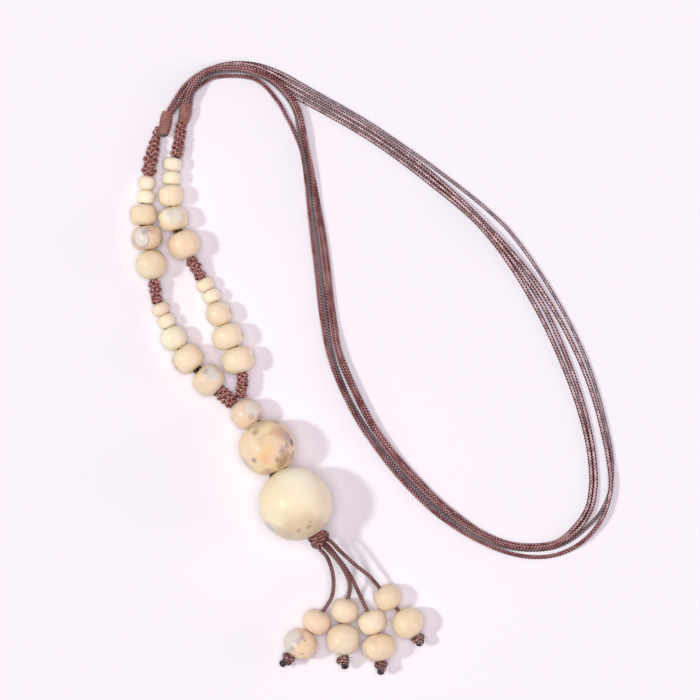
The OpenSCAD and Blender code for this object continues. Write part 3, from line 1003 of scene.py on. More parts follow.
# Finishes of the cords, with the colours of their edge, which is painted shade, of their thread, and of their
# pale sheen, which is painted as a highlight
WAXED = WaxedCord(
    "waxed_cord",
    (0.045, 0.013, 0.013),
    (0.185, 0.06, 0.055),
    (1.0, 0.71, 0.72),
    wax=1.0,
    dot=0.6,
    shine=0.0,
    lines=SheenLines(0.9),
    glint=Glint(),
)
GREY_WAXED = WaxedCord(
    "grey_waxed_cord",
    (0.03, 0.02, 0.022),
    (0.16, 0.12, 0.125),
    (0.75, 0.6, 0.62),
    wax=0.8,
    dot=0.65,
    shine=0.0,
    lines=SheenLines(0.4),
    glint=Glint(),
)
KNOTTED = WaxedCord(
    "knotted_cord",
    (0.035, 0.01, 0.008),
    (0.26, 0.08, 0.066),
    (0.8, 0.51, 0.465),
    Braid(lead=3.6 * MM),
    groove_shade=0.5,
    wax=0.7,
)
WOUND = WaxedCord(
    "wound_cord", (0.08, 0.026, 0.024), (0.325, 0.13, 0.113), (0.62, 0.39, 0.365), groove_shade=0.3, wax=0.5
)
# The dark olive foot of the left wound knot is painted shade at its lower end
SHADED_FOOT = WaxedCord("shaded_foot", (0.05, 0.04, 0.03), (0.13, 0.1, 0.075), (0.25, 0.21, 0.17), groove_shade=0.4)
# The cords inside the beads are painted near black as shade, since they show only in the gaps between beads
SHADED_CORE = WaxedCord("shaded_core_cord", (0.02, 0.008, 0.005), (0.06, 0.03, 0.02), (0.12, 0.07, 0.05))
DROP_KNOT = WaxedCord(
    "drop_knot_cord", (0.016, 0.004, 0.003), (0.15, 0.043, 0.035), (0.52, 0.27, 0.23), groove_shade=0.6, wax=0.6
)
TASSEL_CORD = WaxedCord(
    "tassel_cord", (0.035, 0.012, 0.011), (0.2, 0.082, 0.074), (0.52, 0.33, 0.32), dot=0.62, shine=0.25
)
END_KNOT = WaxedCord("end_knot_cord", (0.02, 0.007, 0.006), (0.15, 0.055, 0.045), (0.5, 0.32, 0.29))


@dataclass(frozen=True)
class Lamp:
    """A light that comes from far away.

    elevation is how high it stands, in degrees from the left over the top to the right, and width
    how wide it looks, in degrees. A lamp wider than widest_mirrored isn't mirrored in the pieces.
    """

    name: str
    strength: float
    colour: Colour
    elevation: float
    width: float
    widest_mirrored: float = 10.0

    def hang(self) -> None:
        """Adds the light to the scene."""
        data = bpy.data.lights.new(self.name, "SUN")
        data.energy = self.strength
        data.angle = math.radians(self.width)
        data.color = self.colour
        lamp = bpy.data.objects.new(self.name, data)
        lamp.rotation_euler = (0, math.radians(self.elevation - 90), 0)
        lamp.visible_glossy = self.width < self.widest_mirrored
        bpy.context.scene.collection.objects.link(lamp)


SKY: Colour = (1.0, 0.9, 0.975)


@dataclass
class Studio:
    """The camera straight above, the soft lights, and the pale table.

    The photograph's pixel origin_px lies over the frame's origin.
    """

    pixels_per_mm: float = 3.0
    image_px: int = 700
    origin_px: Pair = (372.0, 367.0)
    distance: float = 2.5
    sensor_mm: float = 36.0
    clip: float = 100.0
    lamps: tuple[Lamp, ...] = (
        Lamp("sun", 1.34, (0.92, 0.99, 0.92), 49.0, 6.0),
        Lamp("lamp", 2.0, SKY, 90.0, 36.0),
        Lamp("fill", 0.9, SKY, 168.0, 40.0),
    )
    sky_strength: float = 0.14
    floor_size: float = 6.0
    floor_clouds: float = 6.0
    floor_tones: tuple[Colour, Colour] = ((0.86, 0.84, 0.88), (0.87, 0.85, 0.89))

    def camera(self) -> None:
        """Sets the camera that sees what the photograph shows."""
        middle = self.image_px / 2
        x = (middle - self.origin_px[0]) / self.pixels_per_mm * MM
        y = (self.origin_px[1] - middle) / self.pixels_per_mm * MM
        data = bpy.data.cameras.new("camera")
        data.sensor_width = self.sensor_mm
        data.lens = self.sensor_mm * self.distance / (self.image_px / self.pixels_per_mm * MM)
        data.clip_end = self.clip
        camera = bpy.data.objects.new("camera", data)
        camera.location = (x, y, self.distance)
        bpy.context.scene.collection.objects.link(camera)
        bpy.context.scene.camera = camera

    def lights(self) -> None:
        """Hangs the sun on the left, the lamp above and the weak fill on the right, and lights the sky."""
        for lamp in self.lamps:
            lamp.hang()
        world = bpy.data.worlds.new("sky")
        bpy.context.scene.world = world
        world.use_nodes = True
        back = world.node_tree.nodes["Background"]
        back.inputs["Color"].default_value = (*SKY, 1.0)
        back.inputs["Strength"].default_value = self.sky_strength
        bpy.context.scene.view_settings.view_transform = "Standard"

    def floor(self) -> None:
        """Lays the pale table under the necklace."""
        bpy.ops.object.select_all(action="DESELECT")
        bpy.ops.mesh.primitive_plane_add(size=self.floor_size, location=(0, 0, 0))
        floor = bpy.context.object
        floor.name = "table"
        g = Graph("pale_table")
        colour = g.mix(g.noise(g.place(), self.floor_clouds), *self.floor_tones)
        look = g.shade({"Base Color": colour, "Roughness": 0.8, "Specular IOR Level": 0.1})
        floor.data.materials.append(look)


@dataclass
class Dresser:
    """Puts pieces on the body and gives them their finishes, a slot's own one or another."""

    finishes: dict[Slot, Material]

    def dress(self, obj: Piece, slot: Slot, node: str, material: Material | None = None) -> None:
        """Gives a piece its finish, and lets it stand for a node of the frame.

        Args:
            obj: the piece.
            slot: the record's material slot.
            node: the node that the piece stands for.
            material: the finish, or None for the slot's own.
        """
        obj.data.materials.clear()
        obj.data.materials.append(material or self.finishes[slot])
        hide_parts(node)
        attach(obj, BODY)
        LOG.info("%s stands for %s", obj.name, node)

    def add(self, name: str, tube: Tube, slot: Slot, node: str, material: Material | None = None) -> None:
        """Makes a piece of cords and dresses it."""
        self.dress(tube.piece(name), slot, node, material)


@dataclass(frozen=True)
class Coil:
    """Cord that is wound round and round the ends of the neck cords.

    width is its thickness, slant how far the turns lean over, tight how much narrower it is at its
    ends, belly a power that moves its thickest place along it, lap the turns' radius over the
    distance between two, and coarse how many steps of the turns the core takes at once.
    """

    start_mm: Point
    end_mm: Point
    width: float
    turns: int
    hand: Hand = Hand.RIGHT
    slant: float = 0.7 * MM
    tight: float = 0.72
    belly: float = 0.85
    lap: float = 0.54
    step: float = 0.02 * MM
    coarse: int = 8
    sides: int = 12

    def tube(self) -> Tube:
        """Winds the turns round the bundle of cords inside them.

        Returns:
            The turns and the bundle.
        """
        line = resample(np.array([self.start_mm, self.end_mm]) * MM, self.step)
        length = run_of(line)[-1]
        share = run_of(line) / length
        cord = length / self.turns
        bulge = self.tight + (1 - self.tight) * np.sin(math.pi * share**self.belly)
        thick = (self.width / 2 - cord / 2) * bulge
        angle = TURN * self.turns * self.hand.value * share
        path, out = around(line, angle, thick)
        lean_back = self.slant * np.sin(math.pi * share)[:, None] * np.cos(angle)[:, None] * headings(line)
        turns = sweep(path + lean_back, cord * self.lap, self.sides, up=out)
        return Tube.join([turns, sweep(line[:: self.coarse], thick[:: self.coarse], self.sides)])


@dataclass
class NeckCords:
    """The four cords of the neck loop.

    thick_mm gives places along the cords and how thick they are there, in millimetres, and thin_mm
    the same for the first cord. Their ends go sink deep into the wound knots, where gather says how
    much of their distance from the middle is left.
    """

    letters: str = "abcd"
    diameter: float = 1.25 * MM
    thick_mm: tuple[Pair, ...] = (
        (0, 1.42),
        (35, 1.4),
        (60, 1.28),
        (100, 1.3),
        (130, 1.5),
        (230, 1.5),
        (260, 1.42),
        (490, 1.42),
    )
    thin_mm: tuple[Pair, ...] = ((0, 1.4), (40, 1.3), (60, 1.12), (230, 1.12), (260, 1.36), (490, 1.42))
    step: float = 0.17 * MM
    path_step: float = 1 * MM
    sides: int = 18
    parts: int = 24
    sink: float = 1.2 * MM
    gather: float = 0.25

    def line(self, k: int) -> Array:
        """The middle line of a cord.

        Args:
            k: the cord's number, from 0.

        Returns:
            The points of the line, in metres.
        """
        rows = np.array(ROUTE_MM)
        rows = np.vstack([2 * rows[0] - rows[1], rows, 2 * rows[-1] - rows[-2]])
        spans = len(rows) - 3
        points = []
        for i in range(spans):
            for j in range(self.parts + (i == spans - 1)):
                at = curve(*rows[i : i + 4], j / self.parts)
                way = curve_way(*rows[i : i + 4], j / self.parts)
                left = unit(np.array([-way[1], way[0]]))
                points.append([*(at[:2] + left * at[SIDE + k]), at[HEIGHT + k]])
        return resample(np.array(points) * MM, self.step)

    def radius(self, line: Array, thin: bool) -> Array:
        """The radius of a cord at each point: it lies flatter where the cords lie close."""
        return np.interp(run_of(line) / MM, *zip(*(self.thin_mm if thin else self.thick_mm))) / 2 * MM

    def ends(self, coil: Coil, last: bool) -> Tube:
        """The short ends of the four cords that run on into a wound knot.

        Args:
            coil: the knot.
            last: whether they are the cords' last ends and not their first ones.

        Returns:
            The four ends.
        """
        start = Vector(coil.start_mm) * MM
        way = (Vector(coil.end_mm) * MM - start).normalized()
        tubes = []
        for k in range(len(self.letters)):
            line = self.line(k)[::-1] if last else self.line(k)
            tip, before = Vector(line[0]), Vector(line[3])
            goal = start + way * self.sink + (tip - start) * self.gather
            path = blend(tip, (tip - before).normalized(), goal, way)
            tubes.append(sweep(path, self.thick_mm[0][1] / 2 * MM, self.sides, Braid()))
        return Tube.join(tubes)

    def build(self, dresser: Dresser) -> None:
        """The first of them is thinner and greyer.

        Args:
            dresser: what dresses them.
        """
        grey = GREY_WAXED.make()
        for k, letter in enumerate(self.letters):
            line = self.line(k)
            tube = sweep(line, self.radius(line, k == 0), self.sides, Braid())
            cord = tube.piece(f"braided_neck_cord_{letter}")
            dresser.dress(cord, Slot.CORD, f"neck_cord_{letter}", grey if k == 0 else None)


@dataclass
class Plait:
    """A sleeve of cords that are plaited round and round, over and under each other.

    widths_mm are half widths at even shares of its length. lumps says how many knots it draws up
    into, dip how much narrower it is between them, pinch how short those necks are, wave how far
    its cords swing out and in, loose and sway how unevenly they lie outwards and sideways, and
    stray_lengths and stray_shifts how long their two kinds of waves are, and how much later each
    begins from cord to cord. bite is how deep the cords lie in the core, as a share of a cord,
    inner the least distance of their middle, as such a share too, and least the thinnest core.
    """

    line: Array
    widths_mm: Sequence[float]
    lumps: int = 0
    dip: float = 0.0
    pinch: float = 1.5
    strands: int = 4
    lead: float = 7.4 * MM
    cord: float = 1.1 * MM
    wave: float = 0.42 * MM
    loose: float = 0.05 * MM
    sway: float = 0.06
    stray_lengths: Pair = (0.37 * MM, 0.83 * MM)
    stray_shifts: Pair = (2.1, -1.3)
    bite: float = 0.1
    inner: float = 0.2
    least: float = 0.1 * MM
    step: float = 0.12 * MM
    sides: int = 10

    def tube(self) -> Tube:
        """Plaits its cords round the dark core inside them.

        Returns:
            The cords and the core.
        """
        line = resample(self.line, self.step)
        run = run_of(line)
        share = run / run[-1]
        outer = np.interp(share, np.linspace(0, 1, len(self.widths_mm)), self.widths_mm) * MM
        if self.lumps:
            outer = outer * (1 - self.dip * (1 - np.abs(np.sin(math.pi * self.lumps * share))) ** self.pinch)
        middle = np.maximum(outer - self.wave - self.cord / 2, self.inner * self.cord)
        tubes = [sweep(line, np.maximum(middle - self.bite * self.cord, self.least), self.sides)]
        (short, long), (ahead, behind) = self.stray_lengths, self.stray_shifts
        for hand in Hand:
            radius = middle + hand.value * self.wave * np.cos(TURN * self.strands * run / self.lead)
            for j in range(self.strands):
                stray = np.sin(run / short + ahead * j + hand.value) + np.sin(run / long + behind * j)
                turn = TURN * (j / self.strands + hand.value * run / self.lead) + self.sway * stray
                path, out = around(line, turn, radius + self.loose * stray)
                tubes.append(sweep(path, self.cord / 2, self.sides, up=out))
        return Tube.join(tubes)


@dataclass
class Bundle:
    """A few cords side by side inside a run of beads.

    lead is how long one turn of their twist is, and spread how far they lie from the middle, as a
    share of a cord.
    """

    points: Sequence[Vector]
    cord: float = 0.78 * MM
    cords: int = 3
    lead: float = 30 * MM
    spread: float = 0.58
    step: float = 0.4 * MM
    parts: int = 8
    sides: int = 10

    def tube(self) -> Tube:
        """Lays the cords of the bundle with a slight twist.

        Returns:
            The cords.
        """
        line = resample(smooth([tuple(p) for p in self.points], self.parts), self.step)
        run = run_of(line)
        tubes = []
        for j in range(self.cords):
            path, out = around(line, TURN * (j / self.cords + run / self.lead), self.cord * self.spread)
            tubes.append(sweep(path, self.cord / 2, self.sides, up=out))
        return Tube.join(tubes)


@dataclass
class Overhand:
    """A tight knot of one cord, which crosses over and under itself in three loops.

    length is its size along way, width its size across, cord how thick the cord is, rise how far
    it climbs over itself as a share of that, and turn how far the loops are turned. lap is the
    cord's drawn radius over its thickness, and core the core's size over the knot's.
    """

    middle: Vector
    way: Vector
    length: float
    width: float
    cord: float
    turn: float = 0.0
    rise: float = 0.62
    lap: float = 0.54
    core: float = 0.36
    core_parts: int = 9
    parts: int = 150
    sides: int = 10

    def tube(self) -> Tube:
        """Ties the knot round the dark core inside it.

        Returns:
            The cord and the core.
        """
        t = np.linspace(0, TURN, self.parts, endpoint=False)
        way = unit(np.array([self.way.x, self.way.y, 0.0]))
        side = np.cross(UP, way)
        # The curve of the knot reaches three units out from its middle
        long, wide = ((size - self.cord) / 2 / 3 for size in (self.length, self.width))
        u, v = np.sin(t) + 2 * np.sin(2 * t), np.cos(t) - 2 * np.cos(2 * t)
        c, s = math.cos(self.turn), math.sin(self.turn)
        flat = (c * u - s * v)[:, None] * way * long + (s * u + c * v)[:, None] * side * wide
        path = np.array(self.middle) + flat - self.rise * self.cord * np.sin(3 * t)[:, None] * UP
        share = np.linspace(-0.99, 0.99, self.core_parts)
        inside = np.array(self.middle) + share[:, None] * way * self.length * self.core
        return Tube.join([
            sweep(path, self.cord * self.lap, self.sides, closed=True),
            sweep(inside, self.width * self.core * np.sqrt(1 - share**2), self.sides),
        ])


def node_middle(node: str) -> Vector:
    """The middle of a node's box."""
    low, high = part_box(node)
    return (low + high) / 2


@dataclass
class Bead:
    """One drilled bead of glazed ceramic, a little uneven as a hand-made one is.

    along is its length along way, the direction of its hole. round is the power of the curve that
    its side follows when it is as long as wide, 2 for a ball, and square what a flatter bead adds
    to it. bevel is the rounding at the hole. bumps and uneven are the size and height of the
    bumps on it, as shares of its radius.
    """

    node: str
    along: float
    way: Vector
    glaze: Glaze
    slot: Slot = Slot.BEAD
    hole: float = 1.7 * MM
    square: float = 3.6
    round: float = 2.05
    bevel: float = 0.12 * MM
    bevel_steps: int = 3
    bumps: float = 1.1
    uneven: float = 0.05
    segments: int = 40
    rings: int = 26
    hole_rings: int = 4

    @property
    def middle(self) -> Vector:
        """The bead's middle."""
        return node_middle(self.node)

    @property
    def top(self) -> Vector:
        """Where the string goes in."""
        return self.middle - self.way * (self.along / 2)

    @property
    def foot(self) -> Vector:
        """Where the string comes out."""
        return self.middle + self.way * (self.along / 2)

    def build(self, dresser: Dresser) -> None:
        """Makes the bead where its node is.

        Args:
            dresser: what dresses it.
        """
        low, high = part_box(self.node)
        radius = (high.z - low.z) / 2
        bpy.ops.object.select_all(action="DESELECT")
        bpy.ops.mesh.primitive_uv_sphere_add(
            segments=self.segments, ring_count=self.rings, radius=1.0, location=(0, 0, 0)
        )
        obj = bpy.context.object
        obj.name = f"glazed_{self.node}"
        self._swell(obj, radius)
        self._drill(obj)
        turned = self.way.to_track_quat("Z", "Y").to_matrix().to_4x4()
        obj.matrix_world = Matrix.Translation(self.middle) @ turned
        bpy.ops.object.transform_apply(location=True, rotation=True, scale=True)
        self._wobble(obj, radius)
        tone = TONES.get(self.node, (1.0, 1.0, 1.0))
        material = self.glaze.make(f"glaze_{self.node}", self.middle, radius, tone)
        dresser.dress(obj, self.slot, self.node, material)

    def _swell(self, obj: Piece, radius: float) -> None:
        """Turns a unit ball into the full shape of the bead, as long as it would be without a hole.

        Args:
            obj: the ball.
            radius: the bead's radius.
        """
        boxy = self.round + self.square * (1 - self.along / 2 / radius)
        power = 2 / boxy
        tall = self.along / 2 / (1 - (self.hole / 2 / radius) ** boxy) ** (1 / boxy)
        for v in obj.data.vertices:
            across = math.hypot(v.co.x, v.co.y)
            if across > TINY:
                wide = min(across, 1.0) ** power * radius / across
                v.co.x *= wide
                v.co.y *= wide
            v.co.z = math.copysign(abs(v.co.z) ** power * tall, v.co.z)

    def _drill(self, obj: Piece) -> None:
        """Cuts both ends off, joins the cuts by a hole along Z, and rounds its edges.

        Args:
            obj: the bead.
        """
        half = self.along / 2
        bpy.ops.object.mode_set(mode="EDIT")
        for sign in (1, -1):
            bpy.ops.mesh.select_all(action="SELECT")
            bpy.ops.mesh.bisect(plane_co=(0, 0, sign * half), plane_no=(0, 0, sign), clear_outer=True)
        bpy.ops.mesh.select_all(action="DESELECT")
        bpy.ops.mesh.select_non_manifold(extend=False)
        bpy.ops.mesh.bridge_edge_loops(number_cuts=self.hole_rings)
        bpy.ops.mesh.select_all(action="DESELECT")
        bpy.ops.object.mode_set(mode="OBJECT")
        for e in obj.data.edges:
            e.select = all(abs(abs(obj.data.vertices[v].co.z) - half) < TINY for v in e.vertices)
        bpy.ops.object.mode_set(mode="EDIT")
        bpy.ops.mesh.select_mode(type="EDGE")
        bpy.ops.mesh.bevel(offset=self.bevel, segments=self.bevel_steps)
        bpy.ops.mesh.select_all(action="SELECT")
        bpy.ops.mesh.normals_make_consistent(inside=False)
        bpy.ops.object.mode_set(mode="OBJECT")

    def _wobble(self, obj: Piece, radius: float) -> None:
        """Makes the surface a little uneven and smooth.

        Args:
            obj: the bead.
            radius: its radius.
        """
        soft = obj.modifiers.new("soft", "SUBSURF")
        soft.levels = soft.render_levels = 1
        uneven = obj.modifiers.new("uneven", "DISPLACE")
        uneven.texture = bpy.data.textures.new(f"{obj.name}_clouds", "CLOUDS")
        uneven.texture.noise_scale = radius * self.bumps
        uneven.strength = radius * self.uneven
        uneven.mid_level = 0.5
        for modifier in ("soft", "uneven"):
            bpy.ops.object.modifier_apply(modifier=modifier)
        bpy.ops.object.shade_smooth()


def holes(beads: Sequence[Bead]) -> list[Vector]:
    """The two ends of each bead's hole, in order."""
    return [point for bead in beads for point in (bead.top, bead.foot)]


@dataclass
class BeadString:
    """Beads on one string, in order.

    along_mm are their lengths, and first_mm and last_mm the points that the string comes from and
    goes to. pale lists the pale beads, and wide the ones with wide holes.
    """

    names: tuple[str, ...]
    along_mm: tuple[float, ...]
    first_mm: Point
    last_mm: Point
    pale: tuple[int, ...] = ()
    wide: tuple[int, ...] = ()
    hole: float = 1.7 * MM
    wide_hole: float = 3.6 * MM

    def make_beads(self, dresser: Dresser) -> list[Bead]:
        """Makes the beads. The nearer neighbour counts more for the direction of a bead's hole.

        Args:
            dresser: what dresses them.

        Returns:
            The beads.
        """
        chain = [Vector(self.first_mm) * MM, *map(node_middle, self.names), Vector(self.last_mm) * MM]
        beads = []
        for i, (a, b, c) in enumerate(zip(chain, chain[1:], chain[2:])):
            before, after = b - a, c - b
            way = (before.normalized() / before.length + after.normalized() / after.length).normalized()
            glaze = GLAZES.get(self.names[i], PALE if i in self.pale else PLAIN)
            slot = Slot.SMALL_BEAD if i in self.pale else Slot.BEAD
            hole = self.wide_hole if i in self.wide else self.hole
            beads.append(Bead(self.names[i], self.along_mm[i] * MM, way, glaze, slot, hole))
            beads[-1].build(dresser)
        return beads


@dataclass
class Row(BeadString):
    """One row of beads, its three plaited sleeves and the cords inside it.

    side is left or right. top_mm are the points of the upper sleeve before it meets its bead, and
    shift_mm is how far beside the bead's hole it ends. upper_mm, middle_mm and lower_mm are half
    widths of the sleeves along them, and lower_lumps is how many knots the lower one draws up into.
    The two wide beads lie side by side, and thicker cords reach into them: near black, they are painted
    shade in the gap between the two. group is how many beads the upper group has, and seat how far the
    sleeves stay off the beads.
    """

    pale: tuple[int, ...] = (0, 1, 5, 6)
    side: str = "left"
    top_mm: tuple[Point, ...] = ()
    shift_mm: float = 0.0
    upper_mm: tuple[float, ...] = (2.3,)
    middle_mm: tuple[float, ...] = (2.3,)
    lower_mm: tuple[float, ...] = (2.3,)
    lower_lumps: int = 0
    group: int = 5
    seat: float = 0.2 * MM
    reach: float = 1.5 * MM
    thick: float = 1.6 * MM

    def _sleeves(self, beads: list[Bead]) -> dict[str, Plait]:
        """The sleeves above the beads, between their two groups, and below them.

        Args:
            beads: the beads.

        Returns:
            The sleeves by their place.
        """
        first, above, below, last = beads[0], beads[self.group - 1], beads[self.group], beads[-1]
        meet = first.top - first.way * self.seat + Vector((self.shift_mm, 0, 0)) * MM
        upper = smooth([*(np.array(self.top_mm) * MM), tuple(meet)])
        start, stop = above.foot + above.way * self.seat, below.top - below.way * self.seat
        middle = blend(start, above.way, stop, below.way)
        start, stop = last.foot + last.way * self.seat, Vector(self.last_mm) * MM
        lower = blend(start, last.way, stop, (stop - start).normalized())
        return {
            "upper": Plait(upper, self.upper_mm, lumps=5, dip=0.3),
            "middle": Plait(middle, self.middle_mm, lumps=3, dip=0.45),
            "lower": Plait(lower, self.lower_mm, lumps=self.lower_lumps, dip=0.4),
        }

    def build(self, dresser: Dresser, core: Material) -> None:
        """Makes the row.

        Args:
            dresser: what dresses its pieces.
            core: the finish of the cords inside the beads, painted near black as shade.
        """
        beads = self.make_beads(dresser)
        node = f"string_{self.side}"
        for place, plait in self._sleeves(beads).items():
            dresser.add(f"plaited_{self.side}_{place}_sleeve", plait.tube(), Slot.KNOT, node)
        a, b = (beads[i] for i in self.wide)
        for place, part in (("upper", beads[: self.group]), ("lower", beads[self.group :])):
            bundles = [Bundle(holes(part))]
            if a in part:
                # Thicker near-black cords between the two wide beads, painted shade in the gap between them
                bundles.append(Bundle([a.foot - a.way * self.reach, b.top + b.way * self.reach], self.thick))
            tube = Tube.join([bundle.tube() for bundle in bundles])
            dresser.add(f"{self.side}_{place}_core_cords", tube, Slot.CORD, node, core)


ROWS = (
    Row(
        tuple(f"bead_left_{i}" for i in range(1, 11)),
        (4.85, 4.6, 7.1, 8.2, 9.8, 4.4, 4.65, 7.8, 8.5, 9.2),
        (-73.5, 70, 2.1),
        (-46.2, -12.2, 4.4),
        wide=(8, 9),
        side="left",
        top_mm=(
            (-71.2, 79.8, 1.9),
            (-71.8, 77.5, 1.9),
            (-72.3, 75.0, 2.2),
            (-73.0, 71.8, 2.5),
            (-73.8, 68.6, 2.7),
        ),
        shift_mm=0.4,
        upper_mm=(1.2, 1.7, 2.2, 2.6, 2.7, 2.6),
        lower_mm=(2.5, 2.7, 2.5),
    ),
    Row(
        tuple(f"bead_right_{i}" for i in range(1, 11)),
        (4.6, 4.5, 7.3, 7.8, 9.2, 4.45, 4.45, 8.1, 8.1, 8.8),
        (-64.5, 74, 2.2),
        (-43.7, -9.9, 4.6),
        wide=(3, 4),
        side="right",
        top_mm=((-63.2, 82.0, 2.2), (-64.0, 78.0, 2.4), (-64.3, 74.8, 2.6), (-64.8, 72.0, 2.9)),
        shift_mm=0.8,
        upper_mm=(2.0, 2.3, 2.3),
        lower_mm=(2.3, 2.3, 2.1),
        lower_lumps=4,
    ),
)


@dataclass
class WoundKnots:
    """The two knots of cord wound round the ends of the neck cords, and the dark foot of the left one,
    painted shade at its lower end.
    """

    left: Coil = Coil((-68.0, 84.9, 2.1), (-69.6, 77.6, 2.1), 4.3 * MM, 9)
    right: Coil = Coil((-61.5, 87.8, 2.3), (-62.9, 81.8, 2.2), 4.5 * MM, 7, Hand.LEFT)
    foot_mm: tuple[Point, ...] = ((-69.3, 79.0, 2.1), (-69.6, 77.6, 2.0), (-69.8, 76.7, 1.9))
    foot_radii_mm: tuple[float, ...] = (1.7, 1.5, 0.7)
    foot_sides: int = 14

    def build(self, dresser: Dresser, cords: NeckCords) -> None:
        """Makes the knots.

        Args:
            dresser: what dresses their pieces.
            cords: the cords that run into them.
        """
        # A dark piece at the left knot's lower end, painted shade
        foot = sweep(np.array(self.foot_mm) * MM, np.array(self.foot_radii_mm) * MM, self.foot_sides)
        dresser.add("shaded_foot_left", foot, Slot.KNOT, "wrap_left", SHADED_FOOT.make())
        wound = WOUND.make()
        for side, coil in (("left", self.left), ("right", self.right)):
            dresser.add(f"wound_knot_{side}", coil.tube(), Slot.KNOT, f"wrap_{side}", wound)
            ends = cords.ends(coil, last=side == "right")
            dresser.add(f"cord_ends_{side}", ends, Slot.CORD, f"wrap_{side}")


@dataclass
class Drop(BeadString):
    """The three beads of the drop, the cords inside them and the knot under them.

    below is how far the knot's middle is under the last bead, and shift_mm how far it lies beside
    the bead's hole.
    """

    names: tuple[str, ...] = ("bead_drop_small", "bead_drop_middle", "bead_drop_big")
    along_mm: tuple[float, ...] = (9.6, 18.1, 24.6)
    first_mm: Point = (-48.0, -4.0, 4.0)
    last_mm: Point = (-18.0, -56.7, 10.9)
    below: float = 1.7 * MM
    shift_mm: Point = (0.3, 0.5, 0)
    knot_length: float = 6.2 * MM
    knot_width: float = 8.0 * MM
    knot_cord: float = 1.9 * MM
    knot_turn: float = 1.0

    def build(self, dresser: Dresser, core: Material) -> None:
        """Makes the drop.

        Args:
            dresser: what dresses its pieces.
            core: the finish of the cords inside the beads, painted near black as shade.
        """
        beads = self.make_beads(dresser)
        dresser.add("drop_core_cords", Bundle(holes(beads)).tube(), Slot.CORD, "string_drop", core)
        last = beads[-1]
        middle = last.foot + last.way * self.below + Vector(self.shift_mm) * MM
        knot = Overhand(middle, last.way, self.knot_length, self.knot_width, self.knot_cord, self.knot_turn)
        dresser.add("tied_drop_knot", knot.tube(), Slot.KNOT, "drop_knot", DROP_KNOT.make())


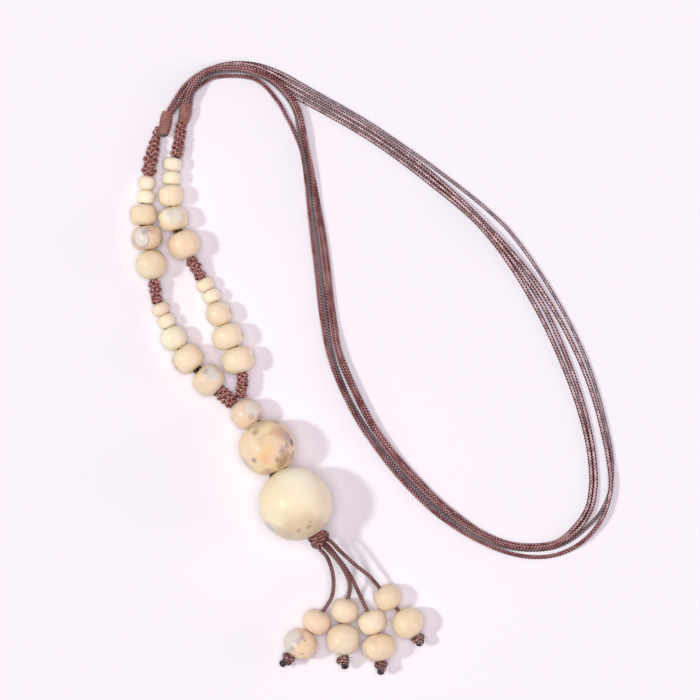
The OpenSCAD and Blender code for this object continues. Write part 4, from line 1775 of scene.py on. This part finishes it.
@dataclass(frozen=True)
class TasselCord:
    """One cord of the tassel, with its two beads and the knot under them.

    points_mm lead from the knot under the drop to the first bead. along_mm are the beads' lengths,
    and tip_mm is where the cord's melted end is. The end knot's middle is knot_below under the
    lower bead, and its loops are turned knot_turn further from cord to cord. The tip starts
    tip_from under the bead, and its end is rounded over the length tip_round.
    """

    number: int
    points_mm: tuple[Point, ...]
    along_mm: Pair
    tip_mm: Point
    start_mm: Point = (-18.2, -57.2, 10.9)
    thick: float = 1.4 * MM
    step: float = 0.2 * MM
    sides: int = 16
    hole: float = 1.9 * MM
    square: float = 1.6
    knot_below: float = 1.9 * MM
    knot_length: float = 4.3 * MM
    knot_width: float = 4.9 * MM
    knot_cord: float = 1.35 * MM
    knot_turn: float = 2.0
    tip_from: float = 1.7 * MM
    tip_thick: float = 2.5 * MM
    tip_round: float = 0.8 * MM
    tip_step: float = 0.1 * MM
    tip_sides: int = 14

    def build(self, dresser: Dresser, cord: Material, knot: Material, tip: Material) -> None:
        """Makes the cord and its beads, its knot and its tip.

        Args:
            dresser: what dresses them.
            cord: the finish of the cord.
            knot: the finish of the knot.
            tip: the finish of the melted tip.
        """
        names = [f"tassel_bead_{place}_{self.number}" for place in ("upper", "lower")]
        upper, lower = map(node_middle, names)
        ways = [(upper - Vector(self.points_mm[-1]) * MM).normalized(), (lower - upper).normalized()]
        beads = [
            Bead(name, along * MM, way, GLAZES.get(name, PLAIN), hole=self.hole, square=self.square)
            for name, along, way in zip(names, self.along_mm, ways)
        ]
        for bead in beads:
            bead.build(dresser)
        points = [Vector(p) * MM for p in (self.start_mm, *self.points_mm)] + holes(beads)
        line = resample(smooth([tuple(p) for p in points]), self.step)
        tube = sweep(line, self.thick / 2, self.sides, Braid())
        name = f"braided_tassel_cord_{self.number}"
        dresser.add(name, tube, Slot.CORD, f"tassel_cord_{self.number}", cord)
        foot = beads[-1].foot
        out = (Vector(self.tip_mm) * MM - foot).normalized()
        node = f"tassel_knot_{self.number}"
        dresser.add(f"tied_end_knot_{self.number}", self._knot(foot, out), Slot.KNOT, node, knot)
        dresser.add(f"melted_tip_{self.number}", self._tip(foot, out), Slot.KNOT, node, tip)

    def _knot(self, foot: Vector, out: Vector) -> Tube:
        """The knot under the lower bead.

        Args:
            foot: where the cord comes out of the bead.
            out: the direction to the tip.

        Returns:
            The knot.
        """
        turn = self.knot_turn * (self.number - 1)
        middle = foot + out * self.knot_below
        return Overhand(middle, out, self.knot_length, self.knot_width, self.knot_cord, turn).tube()

    def _tip(self, foot: Vector, out: Vector) -> Tube:
        """The melted end of the cord, with its round end.

        Args:
            foot: where the cord comes out of its bead.
            out: the direction to the tip.

        Returns:
            The tube.
        """
        line = resample(np.array([foot + out * self.tip_from, Vector(self.tip_mm) * MM]), self.tip_step)
        left = run_of(line)[-1] - run_of(line)
        past = 1 - np.minimum(left / self.tip_round, 1)
        return sweep(line, self.tip_thick / 2 * np.sqrt(np.clip(1 - past**2, 0.02, 1)), self.tip_sides)


# The tassel's cords, from left to right at their tips
TASSEL = (
    TasselCord(
        1,
        (
            (-17.9, -59.5, 10.2),
            (-15.2, -62.8, 9.6),
            (-13.4, -67.3, 8.7),
            (-12.8, -71.4, 7.3),
            (-13.4, -76.3, 5.9),
        ),
        (8.0, 9.6),
        (-30.4, -99.3, 3.6),
    ),
    TasselCord(
        2,
        (
            (-16.1, -59.2, 11.2),
            (-12.5, -62.9, 10.8),
            (-9.2, -67.6, 9.0),
            (-7.5, -71.9, 6.8),
            (-7.6, -75.3, 5.2),
        ),
        (8.2, 10.3),
        (-8.8, -100.4, 4.0),
    ),
    TasselCord(
        3,
        ((-15.2, -58.9, 9.4), (-11.7, -63.0, 8.8), (-7.4, -69.0, 7.4), (-4.3, -75.3, 6.0)),
        (7.9, 9.1),
        (2.8, -102.3, 4.0),
    ),
    TasselCord(
        4,
        ((-14.6, -57.4, 10.9), (-10.9, -60.8, 10.6), (-5.6, -65.7, 8.8), (-0.6, -69.8, 6.6)),
        (8.3, 9.9),
        (16.0, -92.8, 3.9),
    ),
)


def main() -> None:
    """Builds the scene."""
    logging.basicConfig(level=logging.INFO, format="%(message)s")
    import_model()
    studio = Studio()
    studio.camera()
    dresser = Dresser({Slot.CORD: WAXED.make(), Slot.KNOT: KNOTTED.make()})
    cords = NeckCords()
    cords.build(dresser)
    # Near-black cords inside the beads, painted shade for the gaps where they show
    core = SHADED_CORE.make()
    for row in ROWS:
        row.build(dresser, core)
    WoundKnots().build(dresser, cords)
    Drop().build(dresser, core)
    tassel = TASSEL_CORD.make(), END_KNOT.make(), MeltedTip().make()
    for cord in TASSEL:
        cord.build(dresser, *tassel)
    studio.lights()
    studio.floor()


if __name__ == "__main__":
    main()
